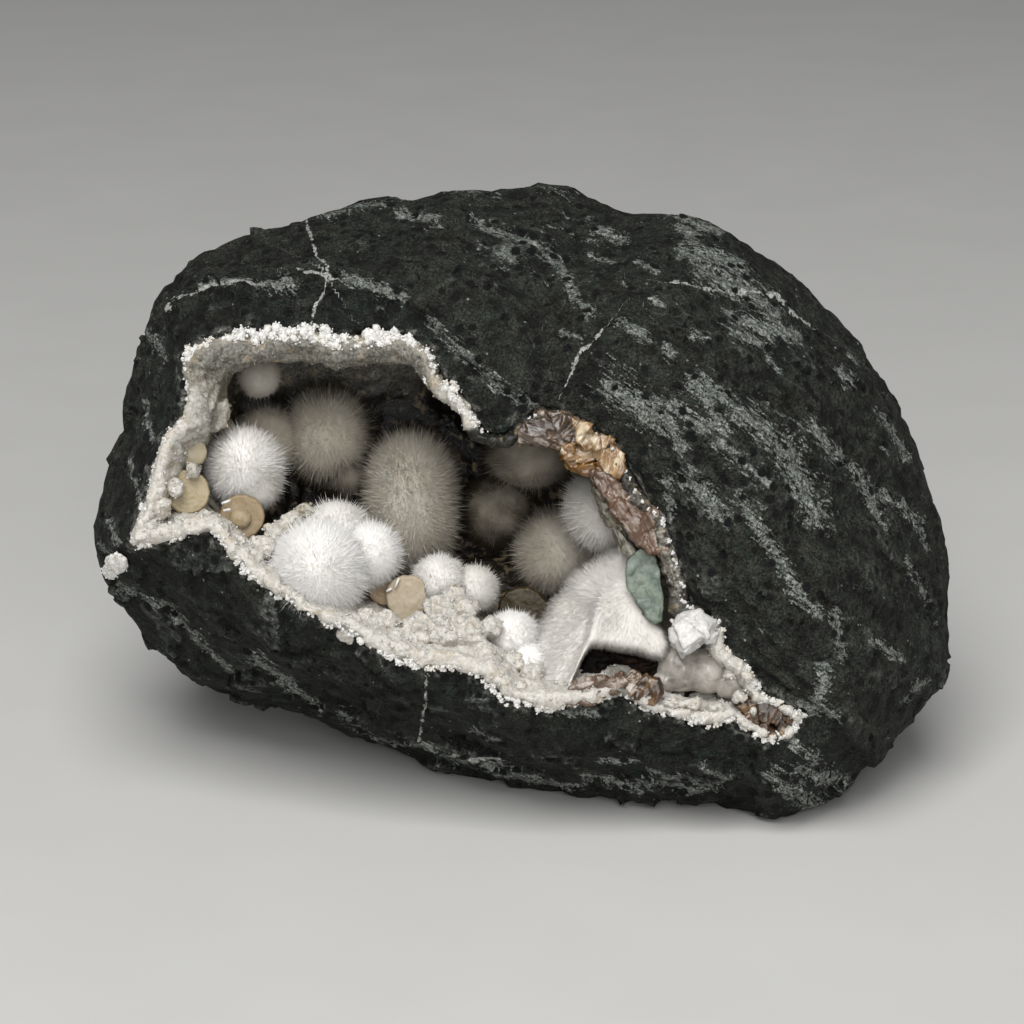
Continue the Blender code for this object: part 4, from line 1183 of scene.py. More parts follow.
# %% Growing the needles
CORE_SHARE = 0.87
ROOT_SHARE = 0.8
NEEDLE_FOOT = 0.063
LEAST_REACH = 0.93
REACH_TAIL = 0.05
STRAY_SHARE = 0.012
WELL_INSIDE = 0.86


def inside_others(places, lumps, own):
    """Which places lie well inside another lump of the same puff."""
    found = np.zeros(len(places), bool)
    for other in lumps:
        if other is not own:
            middle, axes, share = lump_frame(other)
            local = (places - middle) @ np.linalg.inv(axes)
            local[:, 2] -= np.clip(local[:, 2], -share, share)
            found |= (local**2).sum(axis=1) < WELL_INSIDE
    return found


def spikes_from(roots, ends, feet):
    """Corners and triangles of many needles: three foot corners and a tip each."""
    along = ends - roots
    along /= np.linalg.norm(along, axis=1, keepdims=True)
    across = np.cross(along, random.normal(size=along.shape))
    across /= np.linalg.norm(across, axis=1, keepdims=True)
    beside = np.cross(along, across)
    corners = [
        roots + feet * (math.cos(turn) * across + math.sin(turn) * beside)
        for turn in np.radians((0, 120, 240))
    ]
    corners.append(ends)
    four = np.array(((0, 1, 3), (1, 2, 3), (2, 0, 3), (2, 1, 0)))
    triangles = (four[None] + (np.arange(len(roots)) * 4)[:, None, None]).reshape(-1, 3)
    return np.stack(corners, axis=1).reshape(-1, 3), triangles


def needles(lump, lumps, seed):
    """One lump's needles: corners, triangles, tip shares that paint shade at their feet, and shading
    directions.
    """
    middle, axes, share = lump_frame(lump)
    ways = random_ways(int(lump[6] * 1.6))
    ways = ways[ways[:, 1] < 0.3]
    ways = ways[~inside_others(middle + (ways + raised(ways, share)) @ axes, lumps, lump)]
    count = len(ways)
    tips = clumped(ways + random.normal(0, 0.035, (count, 3)), seed)
    reach = LEAST_REACH + random.exponential(REACH_TAIL, count) + 0.02 * lattice_noise(ways, 0.5, seed)
    stray = random.random(count) < STRAY_SHARE
    reach[stray] += random.uniform(0.08, 0.24, stray.sum())
    foot = NEEDLE_FOOT * random.uniform(0.7, 1.3, (count, 1)) * MM
    foot[reach > 1.04] *= 1.5
    standing = raised(ways, share)
    roots = middle + (ways * ROOT_SHARE + standing) @ axes
    ends = middle + (tips * np.clip(reach, 0.9, 1.3)[:, None] + standing) @ axes
    spikes, triangles = spikes_from(roots, ends, foot)
    # The tip share paints the feet darker than the tips: painted shade among the needles.
    return spikes, triangles, np.tile((0.55, 0.55, 0.55, 1.0), count), glints(facing_of(tips, lump))


def core(lump, seed):
    """The felted ball inside the needles."""
    middle, axes, share = lump_frame(lump)
    corners, triangles = core_form
    dents = 1 + 0.02 * lattice_noise(corners, 0.3, seed) + 0.016 * lattice_noise(corners, 0.1, seed)
    places = middle + (corners * CORE_SHARE * dents[:, None] + raised(corners, share)) @ axes
    # The core takes a low tip share, so it is painted dark like the feet: painted shade under the needles.
    return places, triangles, np.full(len(corners), 0.6), facing_of(corners, lump)


def soft_mesh(name, parts):
    """One mesh of cores and needles, shaded along the needles' own directions, as fluff looks."""
    starts = np.cumsum([0] + [len(part[0]) for part in parts[:-1]])
    places = np.concatenate([part[0] for part in parts])
    triangles = np.concatenate([part[1] + start for part, start in zip(parts, starts)])
    obj = piece_from(name, places, triangles)
    note_on(obj, "tip", np.concatenate([part[2] for part in parts]))
    note_on(obj, "depth", on_open_side(corners_of(obj)[0])[:, 2])
    only(obj)
    bpy.ops.object.shade_smooth()
    obj.data.normals_split_custom_set_from_vertices(np.concatenate([part[3] for part in parts]))
    return obj


def puffball(node, lumps):
    """All of one solid's lumps, cores and needles, in one mesh."""
    parts = []
    for index, lump in enumerate(lumps):
        seed = 100 + 10 * index + len(node)
        parts += [core(lump, seed), needles(lump, lumps, seed)]
    return soft_mesh(node.replace("okenite", "puffs"), parts)


print("needle foot in mm:", NEEDLE_FOOT)

# %% [markdown]
# The needles are clear, but so fine and so many that a ball scatters nearly all light back, as snow
# does. The finish is a very white, rough surface. Deep in the hollow painted shade darkens the needles
# to a brownish grey, and their feet are painted darker and a trace warmer than their tips, as painted
# shade down among the needles.

# %% Okenite fibre
okenite, shader, place = start_finish(
    "okenite_fibre", Roughness=0.75, Specular_IOR_Level=0.2)
# Painted shade: the feet are darker and a trace warmer than the tips, as shade down among the needles.
okenite_hue = add_node("MixRGB", {
    "Fac": add_node("Attribute", attribute_name="tip").outputs["Fac"], "Color1": "#cec9c0",
    "Color2": "#f3f1ee",
})
okenite_hue = add_node("MixRGB", {
    "Fac": add_node("MapRange", {
        "Value": add_node("MapRange", {
            "Value": add_node("TexNoise", {
                "Vector": place, "Scale": per(4), "Detail": 2.0, "Roughness": 0.55}),
            "From Min": NOISE_LOW, "From Max": NOISE_HIGH,
        }),
        "From Min": 0.55, "From Max": 1.0, "To Max": 0.25,
    }),
    "Color1": okenite_hue, "Color2": "#e4e0d6",
})
# Painted shade: deep in the hollow, where little light reaches, the needles darken to a brownish grey.
depth_shade_and_tint = add_node("Math", {
    0: add_node("MapRange", {
        "Value": add_node("TexNoise", {
            "Vector": place, "Scale": per(7), "Detail": 2.0, "Roughness": 0.55}),
        "From Min": NOISE_LOW, "From Max": NOISE_HIGH,
    }),
    1: 4.0, 2: add_node("Attribute", attribute_name="depth").outputs["Fac"],
}, operation="MULTIPLY_ADD")
for low, high, shade_tint in ((7.0, 17.0, "#d8d6d1"), (18.0, 29.0, "#dfdad0"), (30.0, 39.0, "#4e483b")):
    okenite_hue = add_node("MixRGB", {
        "Fac": 1.0, "Color1": okenite_hue,
        "Color2": add_node("MixRGB", {
            "Fac": add_node("MapRange", {"Value": depth_shade_and_tint, "From Min": low, "From Max": high}),
            "Color1": "#ffffff", "Color2": shade_tint,
        }),
    }, blend_type="MULTIPLY")
tree.links.new(okenite_hue.outputs["Color"], shader.inputs["Base Color"])
for node, lumps_of_puff in PUFFS.items():
    settle(puffball(node, lumps_of_puff), okenite, [node])

# %% [markdown]
# To the right the okenite isn't a ball but a broken sheaf: its fibres spread from the rim and end to
# the left in a fluffy shoulder and below in a sharp fin. It starts as an outline that is extruded and
# remeshed. Its front is then drawn to the depth that a few measured places give, and needles are set on
# it that lean along the spread.

# %% The body of the sheaf
SHEAF_OUTLINE = (
    (544, 622), (554, 602), (568, 586), (586, 572), (604, 562), (620, 550), (634, 554), (638, 575),
    (642, 598), (652, 618), (664, 630), (670, 644), (664, 658), (652, 658), (640, 653), (622, 650),
    (606, 647), (592, 646), (585, 656), (578, 672), (570, 690), (563, 699), (550, 705), (534, 702),
    (524, 688), (526, 668), (534, 645),
)
SHEAF_DEPTHS = (
    (550, 615, 8), (566, 594, 9), (588, 576, 8.5), (606, 566, 8), (622, 556, 6), (570, 612, 5.5),
    (582, 596, 5), (596, 596, 3.2), (592, 620, 1.2), (584, 644, -1.2), (577, 664, -2.8),
    (567, 690, -4.8), (570, 640, 2.2), (560, 664, 0.6), (552, 684, -1.4), (536, 690, -2.0),
    (552, 640, 4.4), (538, 660, 3.2), (612, 618, 1.6), (628, 598, 2.0), (640, 622, 0.6),
    (656, 642, 0.2), (604, 638, 0.8), (624, 646, 0.2), (612, 590, 2.6), (640, 585, 3.0),
)
FIN_RIDGE = [drawn(x, y) for x, y in ((598, 606), (590, 640), (578, 666), (565, 696))]


def extruded(name, outline, front, thick):
    """A closed block: an outline in the drawing at one depth, extruded away from the eye."""
    corners = in_object([(*drawn(x, y), front) for x, y in outline])
    mesh = bpy.data.meshes.new(name)
    mesh.from_pydata([tuple(c) for c in corners], [], [range(len(corners))])
    obj = bpy.data.objects.new(name, mesh)
    bpy.context.scene.collection.objects.link(obj)
    push = tuple(-TOWARDS_EYE * thick * MM)
    edit_all(obj, bpy.ops.mesh.extrude_region_move, TRANSFORM_OT_translate={"value": push})
    edit_all(obj, bpy.ops.mesh.normals_make_consistent, inside=False)
    return obj


SHEAF_THICK = 12.0
DEPTH_BLEND = 3.0
sheaf = extruded("sheaf_core", SHEAF_OUTLINE, 0, SHEAF_THICK)
remeshed(sheaf, 0.42, 3)
places, normals = corners_of(sheaf)
at = on_open_side(places)
pull = 0
total = 0
for x, y, depth in SHEAF_DEPTHS:
    share = np.exp(-((at[:, :2] - drawn(x, y)) ** 2).sum(axis=1) / DEPTH_BLEND**2) + 1e-9
    pull = pull + share * depth
    total = total + share
front = pull / total
ridge_gap, ridge_side = distance_to_path(at[:, :2], FIN_RIDGE)
front -= 1.6 * np.exp(-((ridge_gap / np.where(ridge_side > 0, 2.6, 0.9)) ** 2))
edge_gap, _ = distance_to_path(at[:, :2], [drawn(x, y) for x, y in SHEAF_OUTLINE + SHEAF_OUTLINE[:1]])
edge = 1 - np.clip(edge_gap / 1.8, 0, 1)
front += 1.8 * (1 - np.sqrt(1 - edge**2 * 0.98))
share = np.clip(at[:, 2] / SHEAF_THICK, 0, 1)
at[:, 2] = front + share * (SHEAF_THICK + 2 - front)
move_corners(sheaf, in_object(at))
places, normals = corners_of(sheaf)
at = on_open_side(places)
SPREAD_FROM = drawn(634, 592)
away = at[:, :2] - SPREAD_FROM
turn = np.arctan2(away[:, 1], away[:, 0])
crease = np.stack((turn * 9, 0.16 * np.hypot(*away.T), at[:, 2] * 0.3), axis=1)
rise = -0.3 + 0.1 * layered_noise(crease, 1.1, 111, layers=2)
move_corners(sheaf, places + normals * rise[:, None] * MM)
print("sheaf corners:", len(places))

# %% [markdown]
# The sheaf's needles lean along the spread from its foot at the rim. On the shoulder they are longer
# and stand up, on the fin they lie nearly flat.

# %% The needles of the sheaf
SHEAF_NEEDLES = 31500
stand_at, stand_way = places_on(
    sheaf, SHEAF_NEEDLES, lambda at, eye: 1.0 * (eye > -0.25) * (at[:, 2] < 11))
count = len(stand_at)
at = on_open_side(stand_at)
away = at[:, :2] - SPREAD_FROM
away /= np.linalg.norm(away, axis=1, keepdims=True)
flow = in_object(np.column_stack((at[:, :2] + away, at[:, 2]))) - stand_at
flow /= np.linalg.norm(flow, axis=1, keepdims=True)
fluffy = ease(at[:, 1] + 0.8 * at[:, 0], -10, -2) * ease(-at[:, 0], -24, -18)
fluffy = np.maximum(fluffy, 0.6 * ease(-at[:, 0], -12, -7))
tips = stand_way * (0.38 + 0.5 * fluffy)[:, None] + flow * (0.9 - 0.4 * fluffy)[:, None]
tips = tips + random.normal(0, 0.17, (count, 3))
tips /= np.linalg.norm(tips, axis=1, keepdims=True)
length = (1.1 + 1.1 * fluffy) * random.uniform(0.4, 1.4, count) * MM
foot = NEEDLE_FOOT * 0.85 * random.uniform(0.7, 1.3, (count, 1)) * MM
roots = stand_at - stand_way * 0.2 * MM
spikes, spike_triangles = spikes_from(roots, roots + tips * length[:, None], foot)
places, normals, core_triangles = taken_apart(sheaf)
# Low tip shares paint the sheaf's core and needle feet darker: painted shade among its fibres.
fan = soft_mesh("puffs_fan", [
    (places, core_triangles, np.full(len(places), 0.2), normals),
    (spikes, spike_triangles, np.tile((0.2, 0.2, 0.2, 0.6), count), glints(tips * 0.3 + stand_way * 0.7)),
])
settle(fan, okenite, ["okenite_fan"])

# %% [markdown]
# ## Gyrolite
#
# Gyrolite grows as flat discs of stacked plates, cream to brown, with a pearly edge. The discs are
# remeshed so their edges round off, and shallow rings are raised round each one's middle. A row is that
# middle in mm, the dark and the pale tone, and how strong the rings are.

# %% Gyrolite discs
RING_TURN = 6.5
BEAD_SINK = 1.7
DISCS = {
    "gyrolite_disc_front": ((-20.8, -17.0), "#a3957f", "#b7ab98", 0.04),
    "gyrolite_disc_behind": ((-25.6, -15.6), "#8d785a", "#a08d70", 0.05),
    "gyrolite_disc_brown": ((2.2, -20.0), "#33290f", "#4a3f22", 0.03),
    "gyrolite_disc_left_upper": ((-63.8, 12.0), "#8f846b", "#aba188", 0.08),
    "gyrolite_disc_left_ringed": ((-64.8, 4.0), "#988a6d", "#b3a88c", 0.14),
    "gyrolite_disc_left_lower": ((-54.0, -1.0), "#8d7b5e", "#a3947a", 0.05),
    "gyrolite_bead_left": ((-54.4, -1.4), "#96866a", "#a99a7f", 0.03),
    "gyrolite_bead_upper": ((-57.8, 16.4), "#8f8979", "#a9a393", 0.03),
}


def gyrolite_finish(name, code, pale, rings):
    """Cream plates with faint growth rings; light soaks a little way into them."""
    made, shader, place = start_finish(
        name, Roughness=0.42, Specular_IOR_Level=0.3, Subsurface_Weight=0.4,
        Subsurface_Radius=(1.0, 0.75, 0.5), Subsurface_Scale=1.5 * MM)
    wobble = add_node("Math", {
        0: add_node("MapRange", {
            "Value": add_node("TexNoise", {
                "Vector": place, "Scale": per(1.4), "Detail": 3.0, "Roughness": 0.55}),
            "From Min": NOISE_LOW, "From Max": NOISE_HIGH,
        }),
        1: 0.7, 2: add_node("Attribute", attribute_name="ring").outputs["Fac"],
    }, operation="MULTIPLY_ADD")
    waves = add_node("Math", {
        0: add_node("Math", {0: wobble, 1: RING_TURN}, operation="MULTIPLY")}, operation="SINE")
    hue = add_node("MixRGB", {
        "Fac": add_node("MapRange", {
            "Value": waves, "From Min": -1.0, "From Max": 1.0, "To Max": rings}),
        "Color1": code, "Color2": pale,
    })
    hue = add_node("MixRGB", {
        "Fac": add_node("MapRange", {
            "Value": add_node("MapRange", {
                "Value": add_node("TexNoise", {
                    "Vector": place, "Scale": per(2.2), "Detail": 3.0, "Roughness": 0.55}),
                "From Min": NOISE_LOW, "From Max": NOISE_HIGH,
            }),
            "From Min": 0.3, "From Max": 1.0, "To Max": 0.35,
        }),
        "Color1": hue, "Color2": pale,
    })
    tree.links.new(hue.outputs["Color"], shader.inputs["Base Color"])
    height = add_node("Math", {
        0: waves, 1: rings,
        2: add_node("MapRange", {
            "Value": add_node("TexNoise", {
                "Vector": place, "Scale": per(0.8), "Detail": 3.0, "Roughness": 0.55}),
            "From Min": NOISE_LOW, "From Max": NOISE_HIGH,
        }),
    }, operation="MULTIPLY_ADD")
    bump = add_node("Bump", {"Height": height, "Strength": 0.3, "Distance": 0.15 * MM})
    tree.links.new(bump.outputs["Normal"], shader.inputs["Normal"])
    return made


for node, (middle, code, pale, rings) in DISCS.items():
    disc = copy_of(node, node.replace("gyrolite", "pearly"))
    remeshed(disc, 0.2, 4)
    places, normals = corners_of(disc)
    if "bead" in node:
        places -= TOWARDS_EYE * BEAD_SINK * MM
    from_middle = np.hypot(*(on_open_side(places)[:, :2] - middle).T)
    rise = 0.2 * rings * np.sin(from_middle * RING_TURN)
    rise += 0.16 * layered_noise(places / MM, 2.2, 91, layers=3)
    move_corners(disc, places + normals * rise[:, None] * MM)
    note_on(disc, "ring", from_middle)
    bpy.ops.object.shade_smooth()
    finish = gyrolite_finish(disc.name, code, pale, rings)
    settle(disc, finish, [node])

# %% [markdown]
# A few stubby white prisms have grown on the discs at the left and on the front disc. A row is a place
# in the drawing, a depth and a length in mm, and an angle.

# %% White prisms
PRISMS = (
    (206, 495, 6.6, 2.4, 78), (226, 502, 5.6, 1.9, 20), (227, 510, 5.0, 1.5, 10),
    (397, 583, 7.2, 2.2, 66), (389, 590, 7.4, 1.2, 30), (199, 470, 7.5, 1.2, 50),
)
PRISM_RADIUS = 0.3
prism_form = form_of(bpy.ops.mesh.primitive_cylinder_add, vertices=4, radius=1, depth=2)
prism_places = []
for x, y, depth, long, angle in PRISMS:
    up, deep, across = (prism_form[0] * (PRISM_RADIUS, PRISM_RADIUS, long / 2)).T
    cos, sin = math.cos(math.radians(angle)), math.sin(math.radians(angle))
    turned = np.stack((across * cos - up * sin, across * sin + up * cos, deep), axis=1)
    prism_places.append(in_object(turned + (*drawn(x, y), depth)))
prisms = merged("white_prisms", prism_form, prism_places)
edit_all(prisms, bpy.ops.mesh.normals_make_consistent, inside=False)
settle(prisms, frill_white)

# %% [markdown]
# ## Calcite
#
# The amber and brown crystals on the right rim are calcite, broken with the rock: slabs with a striped
# grain and flat, bright faces. Each slab is an outline from the drawing, extruded away from the eye,
# remeshed, and cut along its grain by facets and stretched noise.

# %% Slabs
SLAB_SQUARE = 0.25
SLAB_ROUGH = 0.4


def slab(name, outline, front, thick, angle):
    """A broken slab: an outline in the drawing, its front depth and thickness in mm, its grain's angle."""
    obj = extruded(name, outline, front, thick)
    shape_with(obj, "REMESH", mode="VOXEL", voxel_size=SLAB_SQUARE * MM)
    places, normals = corners_of(obj)
    at = on_open_side(places)
    turn = math.radians(angle)
    grain_at = np.stack((
        0.3 * (at[:, 0] * math.cos(turn) + at[:, 1] * math.sin(turn)),
        at[:, 1] * math.cos(turn) - at[:, 0] * math.sin(turn),
        at[:, 2],
    ), axis=1)
    loose = places / MM + 0.4 * layered_noise(places / MM, 1.5, 140, layers=2)[:, None]
    rise = SLAB_ROUGH * (facets(grain_at, 1.5, 0.9, 5) + facets(loose, 3.2, 0.8, 6))
    move_corners(obj, places + normals * rise[:, None] * MM)
    shape_with(obj, "SMOOTH", factor=0.3, iterations=1)
    bpy.ops.object.shade_smooth()
    note_way_on(obj, "stripe", grain_at)
    note_on(obj, "tone", 0.5 + 0.5 * lattice_noise(grain_at, 1.4, 141))
    return obj


def slabs_of(name, rows):
    """Several slabs made one piece."""
    first, *others = [slab(f"{name}_{index}", *row) for index, row in enumerate(rows)]
    only(first)
    for other in others:
        other.select_set(True)
    if others:
        bpy.ops.object.join()
    first.name = name
    return first


def slab_finish(name, dark, middle, light, clear, rough, bend=1.6):
    """Striped calcite: three tones in bands along the slab's grain."""
    made, shader, place = start_finish(
        name, Roughness=rough, IOR=bend, Transmission_Weight=clear, Subsurface_Weight=0.25,
        Subsurface_Radius=(1.0, 0.6, 0.3), Subsurface_Scale=1.5 * MM)
    stripe_at = add_node("Attribute", attribute_name="stripe").outputs["Vector"]
    bands = add_node("TexNoise", {
        "Vector": stripe_at, "Scale": 1.3, "Detail": 4.0, "Roughness": 0.65})
    cloud = add_node("MapRange", {
        "Value": add_node("TexNoise", {
            "Vector": place, "Scale": per(3.0), "Detail": 3.0, "Roughness": 0.55}),
        "From Min": NOISE_LOW, "From Max": NOISE_HIGH,
    })
    band = add_node("MapRange", {"Value": bands.outputs["Fac"], "From Min": 0.34, "From Max": 0.66})
    hue = add_node("MixRGB", {"Fac": band, "Color1": dark, "Color2": middle})
    paleness = add_node("Math", {
        0: cloud, 1: 0.45, 2: add_node("Math", {0: band, 1: 0.3}, operation="MULTIPLY"),
    }, operation="MULTIPLY_ADD")
    paleness = add_node("Math", {
        0: paleness,
        1: add_node("Math", {
            0: add_node("Attribute", attribute_name="tone").outputs["Fac"], 1: 0.5,
        }, operation="MULTIPLY"),
    }, operation="ADD")
    hue = add_node("MixRGB", {
        "Fac": add_node("MapRange", {"Value": paleness, "From Min": 0.66, "From Max": 1.05}),
        "Color1": hue, "Color2": light,
    })
    hue = add_node("MixRGB", {
        "Fac": 1.0, "Color1": hue,
        "Color2": add_node("MixRGB", {
            "Fac": add_node("Attribute", attribute_name="tone").outputs["Fac"], "Color1": "#b9b5b0",
            "Color2": "#ffffff",
        }),
    }, blend_type="MULTIPLY")
    tree.links.new(hue.outputs["Color"], shader.inputs["Base Color"])
    bump = add_node("Bump", {"Height": band, "Strength": 0.35, "Distance": 0.15 * MM})
    tree.links.new(bump.outputs["Normal"], shader.inputs["Normal"])
    return made


print("slab squares in mm:", SLAB_SQUARE)

# %% [markdown]
# Each row is one slab: its outline in the drawing, the depth of its front and its thickness in mm, and
# the angle of its grain. From the top of the rim they run down its right side, then along the foot of
# the sheaf into the tail of the hollow.

# %% The slabs' outlines
BEIGE_SLABS = (
    (
        (
            (517, 443), (520, 428), (530, 417), (546, 411), (556, 414), (560, 428), (566, 440),
            (560, 451), (544, 447),
        ),
        -3.4, 4.5, -25,
    ),
    (
        ((548, 412), (562, 411), (576, 418), (584, 430), (576, 444), (564, 440), (554, 428)),
        -4.4, 4.6, 50,
    ),
)
AMBER_SLABS = (
    (
        ((572, 418), (590, 426), (602, 436), (600, 450), (586, 452), (574, 440)),
        -4.8, 5.0, 60,
    ),
    (
        ((592, 432), (604, 432), (618, 444), (627, 460), (624, 476), (608, 474), (596, 462), (590, 448)),
        -4.2, 5.0, 70,
    ),
    (
        ((556, 444), (572, 438), (592, 446), (600, 460), (584, 464), (566, 458)),
        -3.4, 4.4, 20,
    ),
)
HONEY_SLABS = (
    (
        ((562, 454), (580, 456), (602, 462), (606, 474), (586, 476), (568, 468)),
        -2.6, 4.0, 5,
    ),
)
RIGHT_SLABS = (
    (
        ((590, 472), (604, 472), (620, 480), (632, 496), (634, 508), (620, 508), (606, 498), (596, 486)),
        -3.0, 4.6, -65,
    ),
    (
        (
            (606, 494), (622, 500), (640, 508), (656, 514), (664, 530), (668, 548), (654, 552),
            (638, 546), (622, 524), (612, 508),
        ),
        -3.8, 4.6, -60,
    ),
)
PALE_LEDGE = (
    (
        (
            (592, 486), (600, 488), (606, 502), (614, 514), (622, 532), (630, 545), (640, 556),
            (636, 562), (624, 552), (614, 534), (604, 514), (596, 498),
        ),
        -0.6, 3.4, -60,
    ),
)
LOW_DARK = (
    (
        (
            (580, 676), (588, 650), (606, 652), (626, 657), (660, 660), (664, 672), (652, 684),
            (630, 682), (606, 684),
        ),
        4.6, 3.0, 8,
    ),
)
LOW_SLABS = (
    (
        (
            (562, 704), (570, 688), (586, 680), (604, 677), (622, 674), (630, 684), (618, 692),
            (604, 697), (584, 706),
        ),
        -5.8, 4.6, 12,
    ),
    (
        ((622, 682), (632, 672), (640, 676), (640, 692), (630, 696)),
        -4.6, 4.2, 40,
    ),
)
LOW_AMBER = (
    (
        ((636, 700), (636, 684), (646, 676), (658, 680), (662, 692), (656, 704), (646, 706)),
        -4.8, 4.6, 70,
    ),
)
TAIL_SLABS = (
    (
        ((738, 706), (746, 698), (756, 700), (762, 710), (758, 724), (746, 722)),
        -0.4, 3.4, 30,
    ),
    (
        ((756, 704), (768, 700), (780, 704), (784, 716), (776, 726), (762, 722)),
        -1.0, 4.2, 60,
    ),
    (
        ((754, 722), (766, 720), (774, 728), (778, 738), (766, 738), (756, 732)),
        0.0, 3.4, 10,
    ),
    (
        ((776, 712), (788, 708), (798, 718), (794, 730), (782, 736), (774, 726)),
        0.4, 3.6, -30,
    ),
)


print("slabs in the tail:", len(TAIL_SLABS))

# %% [markdown]
# The tones go from honey and amber at the top to a fleshy grey and a rusty brown below. Iron stains
# calcite like this. The slab behind the lower ones is almost black, because the light doesn't reach it.

# %% The slabs' finishes
amber = slab_finish("amber_calcite", "#86633c", "#c3a074", "#efe0c0", 0.2, 0.16)
beige = slab_finish("beige_calcite", "#42352a", "#6e5c4d", "#a3917f", 0.12, 0.22)
honey = slab_finish("honey_calcite", "#6b4718", "#a5752f", "#cf9f50", 0.25, 0.12)
rusty = slab_finish("rusty_calcite", "#613f2b", "#85705f", "#bfb2a5", 0.1, 0.22)
pale_calcite = slab_finish("pale_calcite", "#4f4b3d", "#8f8a7b", "#c9c5ba", 0.0, 0.4)
# Painted shade: this slab lies under the sheaf's lip, so its tones are painted near black.
dark_calcite = slab_finish("painted_shade_calcite", "#050301", "#110904", "#24130a", 0.0, 0.6, 1.2)
pink_calcite = slab_finish("fleshy_calcite", "#604938", "#95806f", "#d2c9c0", 0.1, 0.22)
tail_calcite = slab_finish("tawny_calcite", "#38271a", "#644a33", "#a2835f", 0.15, 0.3)
SLAB_PIECES = (
    ("beige_slabs_upper", BEIGE_SLABS, beige, []),
    ("amber_slabs_upper", AMBER_SLABS, amber, ["calcite_blades_upper"]),
    ("honey_slab_upper", HONEY_SLABS, honey, []),
    ("rusty_slabs_right", RIGHT_SLABS, rusty, ["calcite_blades_right"]),
    ("pale_ledge_right", PALE_LEDGE, pale_calcite, []),
    ("dark_slabs_low", LOW_DARK, dark_calcite, []),
    ("fleshy_slabs_low", LOW_SLABS, pink_calcite, ["calcite_blades_low"]),
    ("amber_slab_low", LOW_AMBER, tail_calcite, []),
    ("tawny_slabs_tail", TAIL_SLABS, tail_calcite, ["calcite_blades_tail"]),
)
for name, rows, finish, replaced in SLAB_PIECES:
    settle(slabs_of(name, rows), finish, replaced)

# %% [markdown]
# ## The green plate, the white chunk and the grey pocket
#
# Three single pieces finish the right side: a pale green waxy plate, a chunk as white as chalk, and a
# smooth grey lining of chalcedony, which light soaks into.

# %% Soft-edged stone


def stone_finish(name, light, dark, size, **shader_sockets):
    """A cloudy mix of two tones, whose clouds also raise it a little."""
    made, shader, place = start_finish(name, **shader_sockets)
    cloudy = add_node("TexNoise", {
        "Vector": place, "Scale": per(size), "Detail": 4.0, "Roughness": 0.6}).outputs["Fac"]
    hue = add_node("MixRGB", {
        "Fac": add_node("MapRange", {"Value": cloudy, "From Min": 0.36, "From Max": 0.64}),
        "Color1": dark, "Color2": light,
    })
    tree.links.new(hue.outputs["Color"], shader.inputs["Base Color"])
    bump = add_node("Bump", {"Height": cloudy, "Strength": 0.35, "Distance": 0.4 * MM})
    tree.links.new(bump.outputs["Normal"], shader.inputs["Normal"])
    return made


GREEN_OUTLINE = (
    (627, 560), (634, 553), (641, 548), (649, 551), (655, 556), (660, 568), (660, 580), (663, 594),
    (664, 608), (662, 621), (656, 624), (648, 620), (643, 612), (637, 605), (633, 597), (627, 589),
    (625, 574),
)
plate = extruded("green_wax_plate", GREEN_OUTLINE, -1.6, 2.6)
remeshed(plate, 0.22, 4)
carve(plate, lambda mm: 0.16 * layered_noise(mm, 1.6, 95, layers=3) + facets(mm, 2.6, 0.12, 9))
green_wax = stone_finish("green_wax", "#707a6b", "#4d5a50", 2.0, Roughness=0.42)
settle(plate, green_wax, ["green_plate"])

chunk = copy_of("white_chunk", "chalky_chunk")
remeshed(chunk, 0.25, 2)
carve(chunk, lambda mm: (
    0.3 * layered_noise(mm, 4.2, 96, layers=2) + facets(mm, 3.2, 0.34, 13) + 0.05 * billows(mm, 0.8, 98)))
chalk = stone_finish("chalk", "#dddbd7", "#bfbcb7", 1.5, Roughness=0.8)
settle(chunk, chalk, ["white_chunk"])

# %% [markdown]
# The pocket is a few balls grown together by a remesh and smoothed until only a soft swell is left of
# each, as chalcedony lines a hole. A row is a place in the drawing, a depth and a radius in mm.

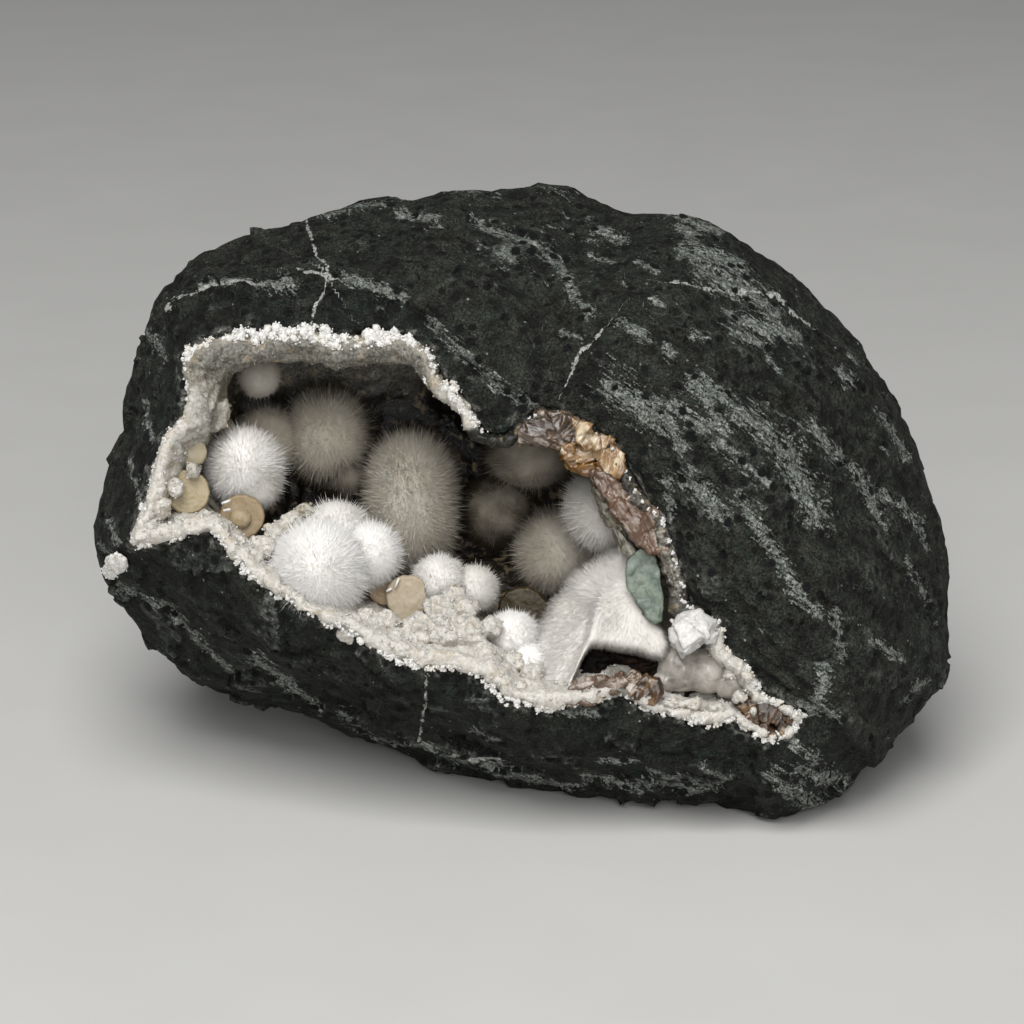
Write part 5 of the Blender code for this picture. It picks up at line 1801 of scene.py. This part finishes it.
# %% The grey pocket
POCKET_BALLS = (
    (682, 668, 3.4, 5.4), (708, 670, 3.0, 5.2), (732, 682, 3.0, 3.8), (664, 682, 3.4, 2.6),
    (744, 692, 2.6, 2.2),
)
ball_places = []
for x, y, depth, radius in POCKET_BALLS:
    ball = boulder[0] * (radius, radius * 0.9, radius) + (*drawn(x, y), depth + 0.5 * radius)
    ball_places.append(in_object(ball))
pocket = merged("grey_pocket", boulder, ball_places)
remeshed(pocket, 0.25, 16)
carve(pocket, lambda mm: 0.22 * layered_noise(mm, 3.0, 97, layers=2) + facets(mm, 3.6, 0.08, 14))
chalcedony = stone_finish(
    "chalcedony", "#c3beb6", "#8f8981", 4.0, Roughness=0.22, Subsurface_Weight=0.5,
    Subsurface_Radius=(1.0, 0.85, 0.7), Subsurface_Scale=2.0 * MM)
settle(pocket, chalcedony, ["chalcedony_pocket"])

# %% [markdown]
# ## The studio
#
# The floor is a plain pale sheet. A large soft light hangs over the lump and a little to the left, as
# in the photograph, where the top of the stone and the front puffballs are bright and the underside
# is dark.

# %% Floor
bpy.ops.mesh.primitive_plane_add(size=6, location=(0, 0, 0))
floor = bpy.context.active_object
floor.name = "studio_floor"
floor_finish, shader, place = start_finish("matt_paper", Roughness=0.9)
paper = add_node("TexNoise", {"Vector": place, "Scale": per(40), "Detail": 2.0})
paper_hue = add_node("MixRGB", {"Fac": paper.outputs["Fac"], "Color1": "#c4c3c0", "Color2": "#cbcac7"})
tree.links.new(paper_hue.outputs["Color"], shader.inputs["Base Color"])
floor.data.materials.append(floor_finish)
print("floor:", floor.name)

# %% [markdown]
# The key light is large and near, so its shadows are soft. A weaker one from the camera's side opens up
# the hollow, and the world adds a trace of cool light from all around.

# %% Lights
HOLLOW_MIDDLE = Vector((0, -0.03, 0.06))


def soft_light(name, place, size, power):
    """A square light that looks at the hollow."""
    lamp = bpy.data.lights.new(name, "AREA")
    lamp.size = size
    lamp.energy = power
    obj = bpy.data.objects.new(name, lamp)
    bpy.context.scene.collection.objects.link(obj)
    obj.location = place
    aim = HOLLOW_MIDDLE - Vector(place)
    obj.rotation_euler = aim.to_track_quat("-Z", "Y").to_euler()


soft_light("key", (-0.2, -1.0, 1.66), 1.2, 37.0)
soft_light("fill", (0.1, -1.3, 0.5), 0.8, 9.0)
world = bpy.data.worlds.new("studio")
bpy.context.scene.world = world
world.use_nodes = True
background = world.node_tree.nodes["Background"]
background.inputs["Color"].default_value = (0.8, 0.82, 0.85, 1)
background.inputs["Strength"].default_value = 0.1
bpy.context.scene.view_settings.view_transform = "Standard"
print("lights:", len(bpy.data.lights))
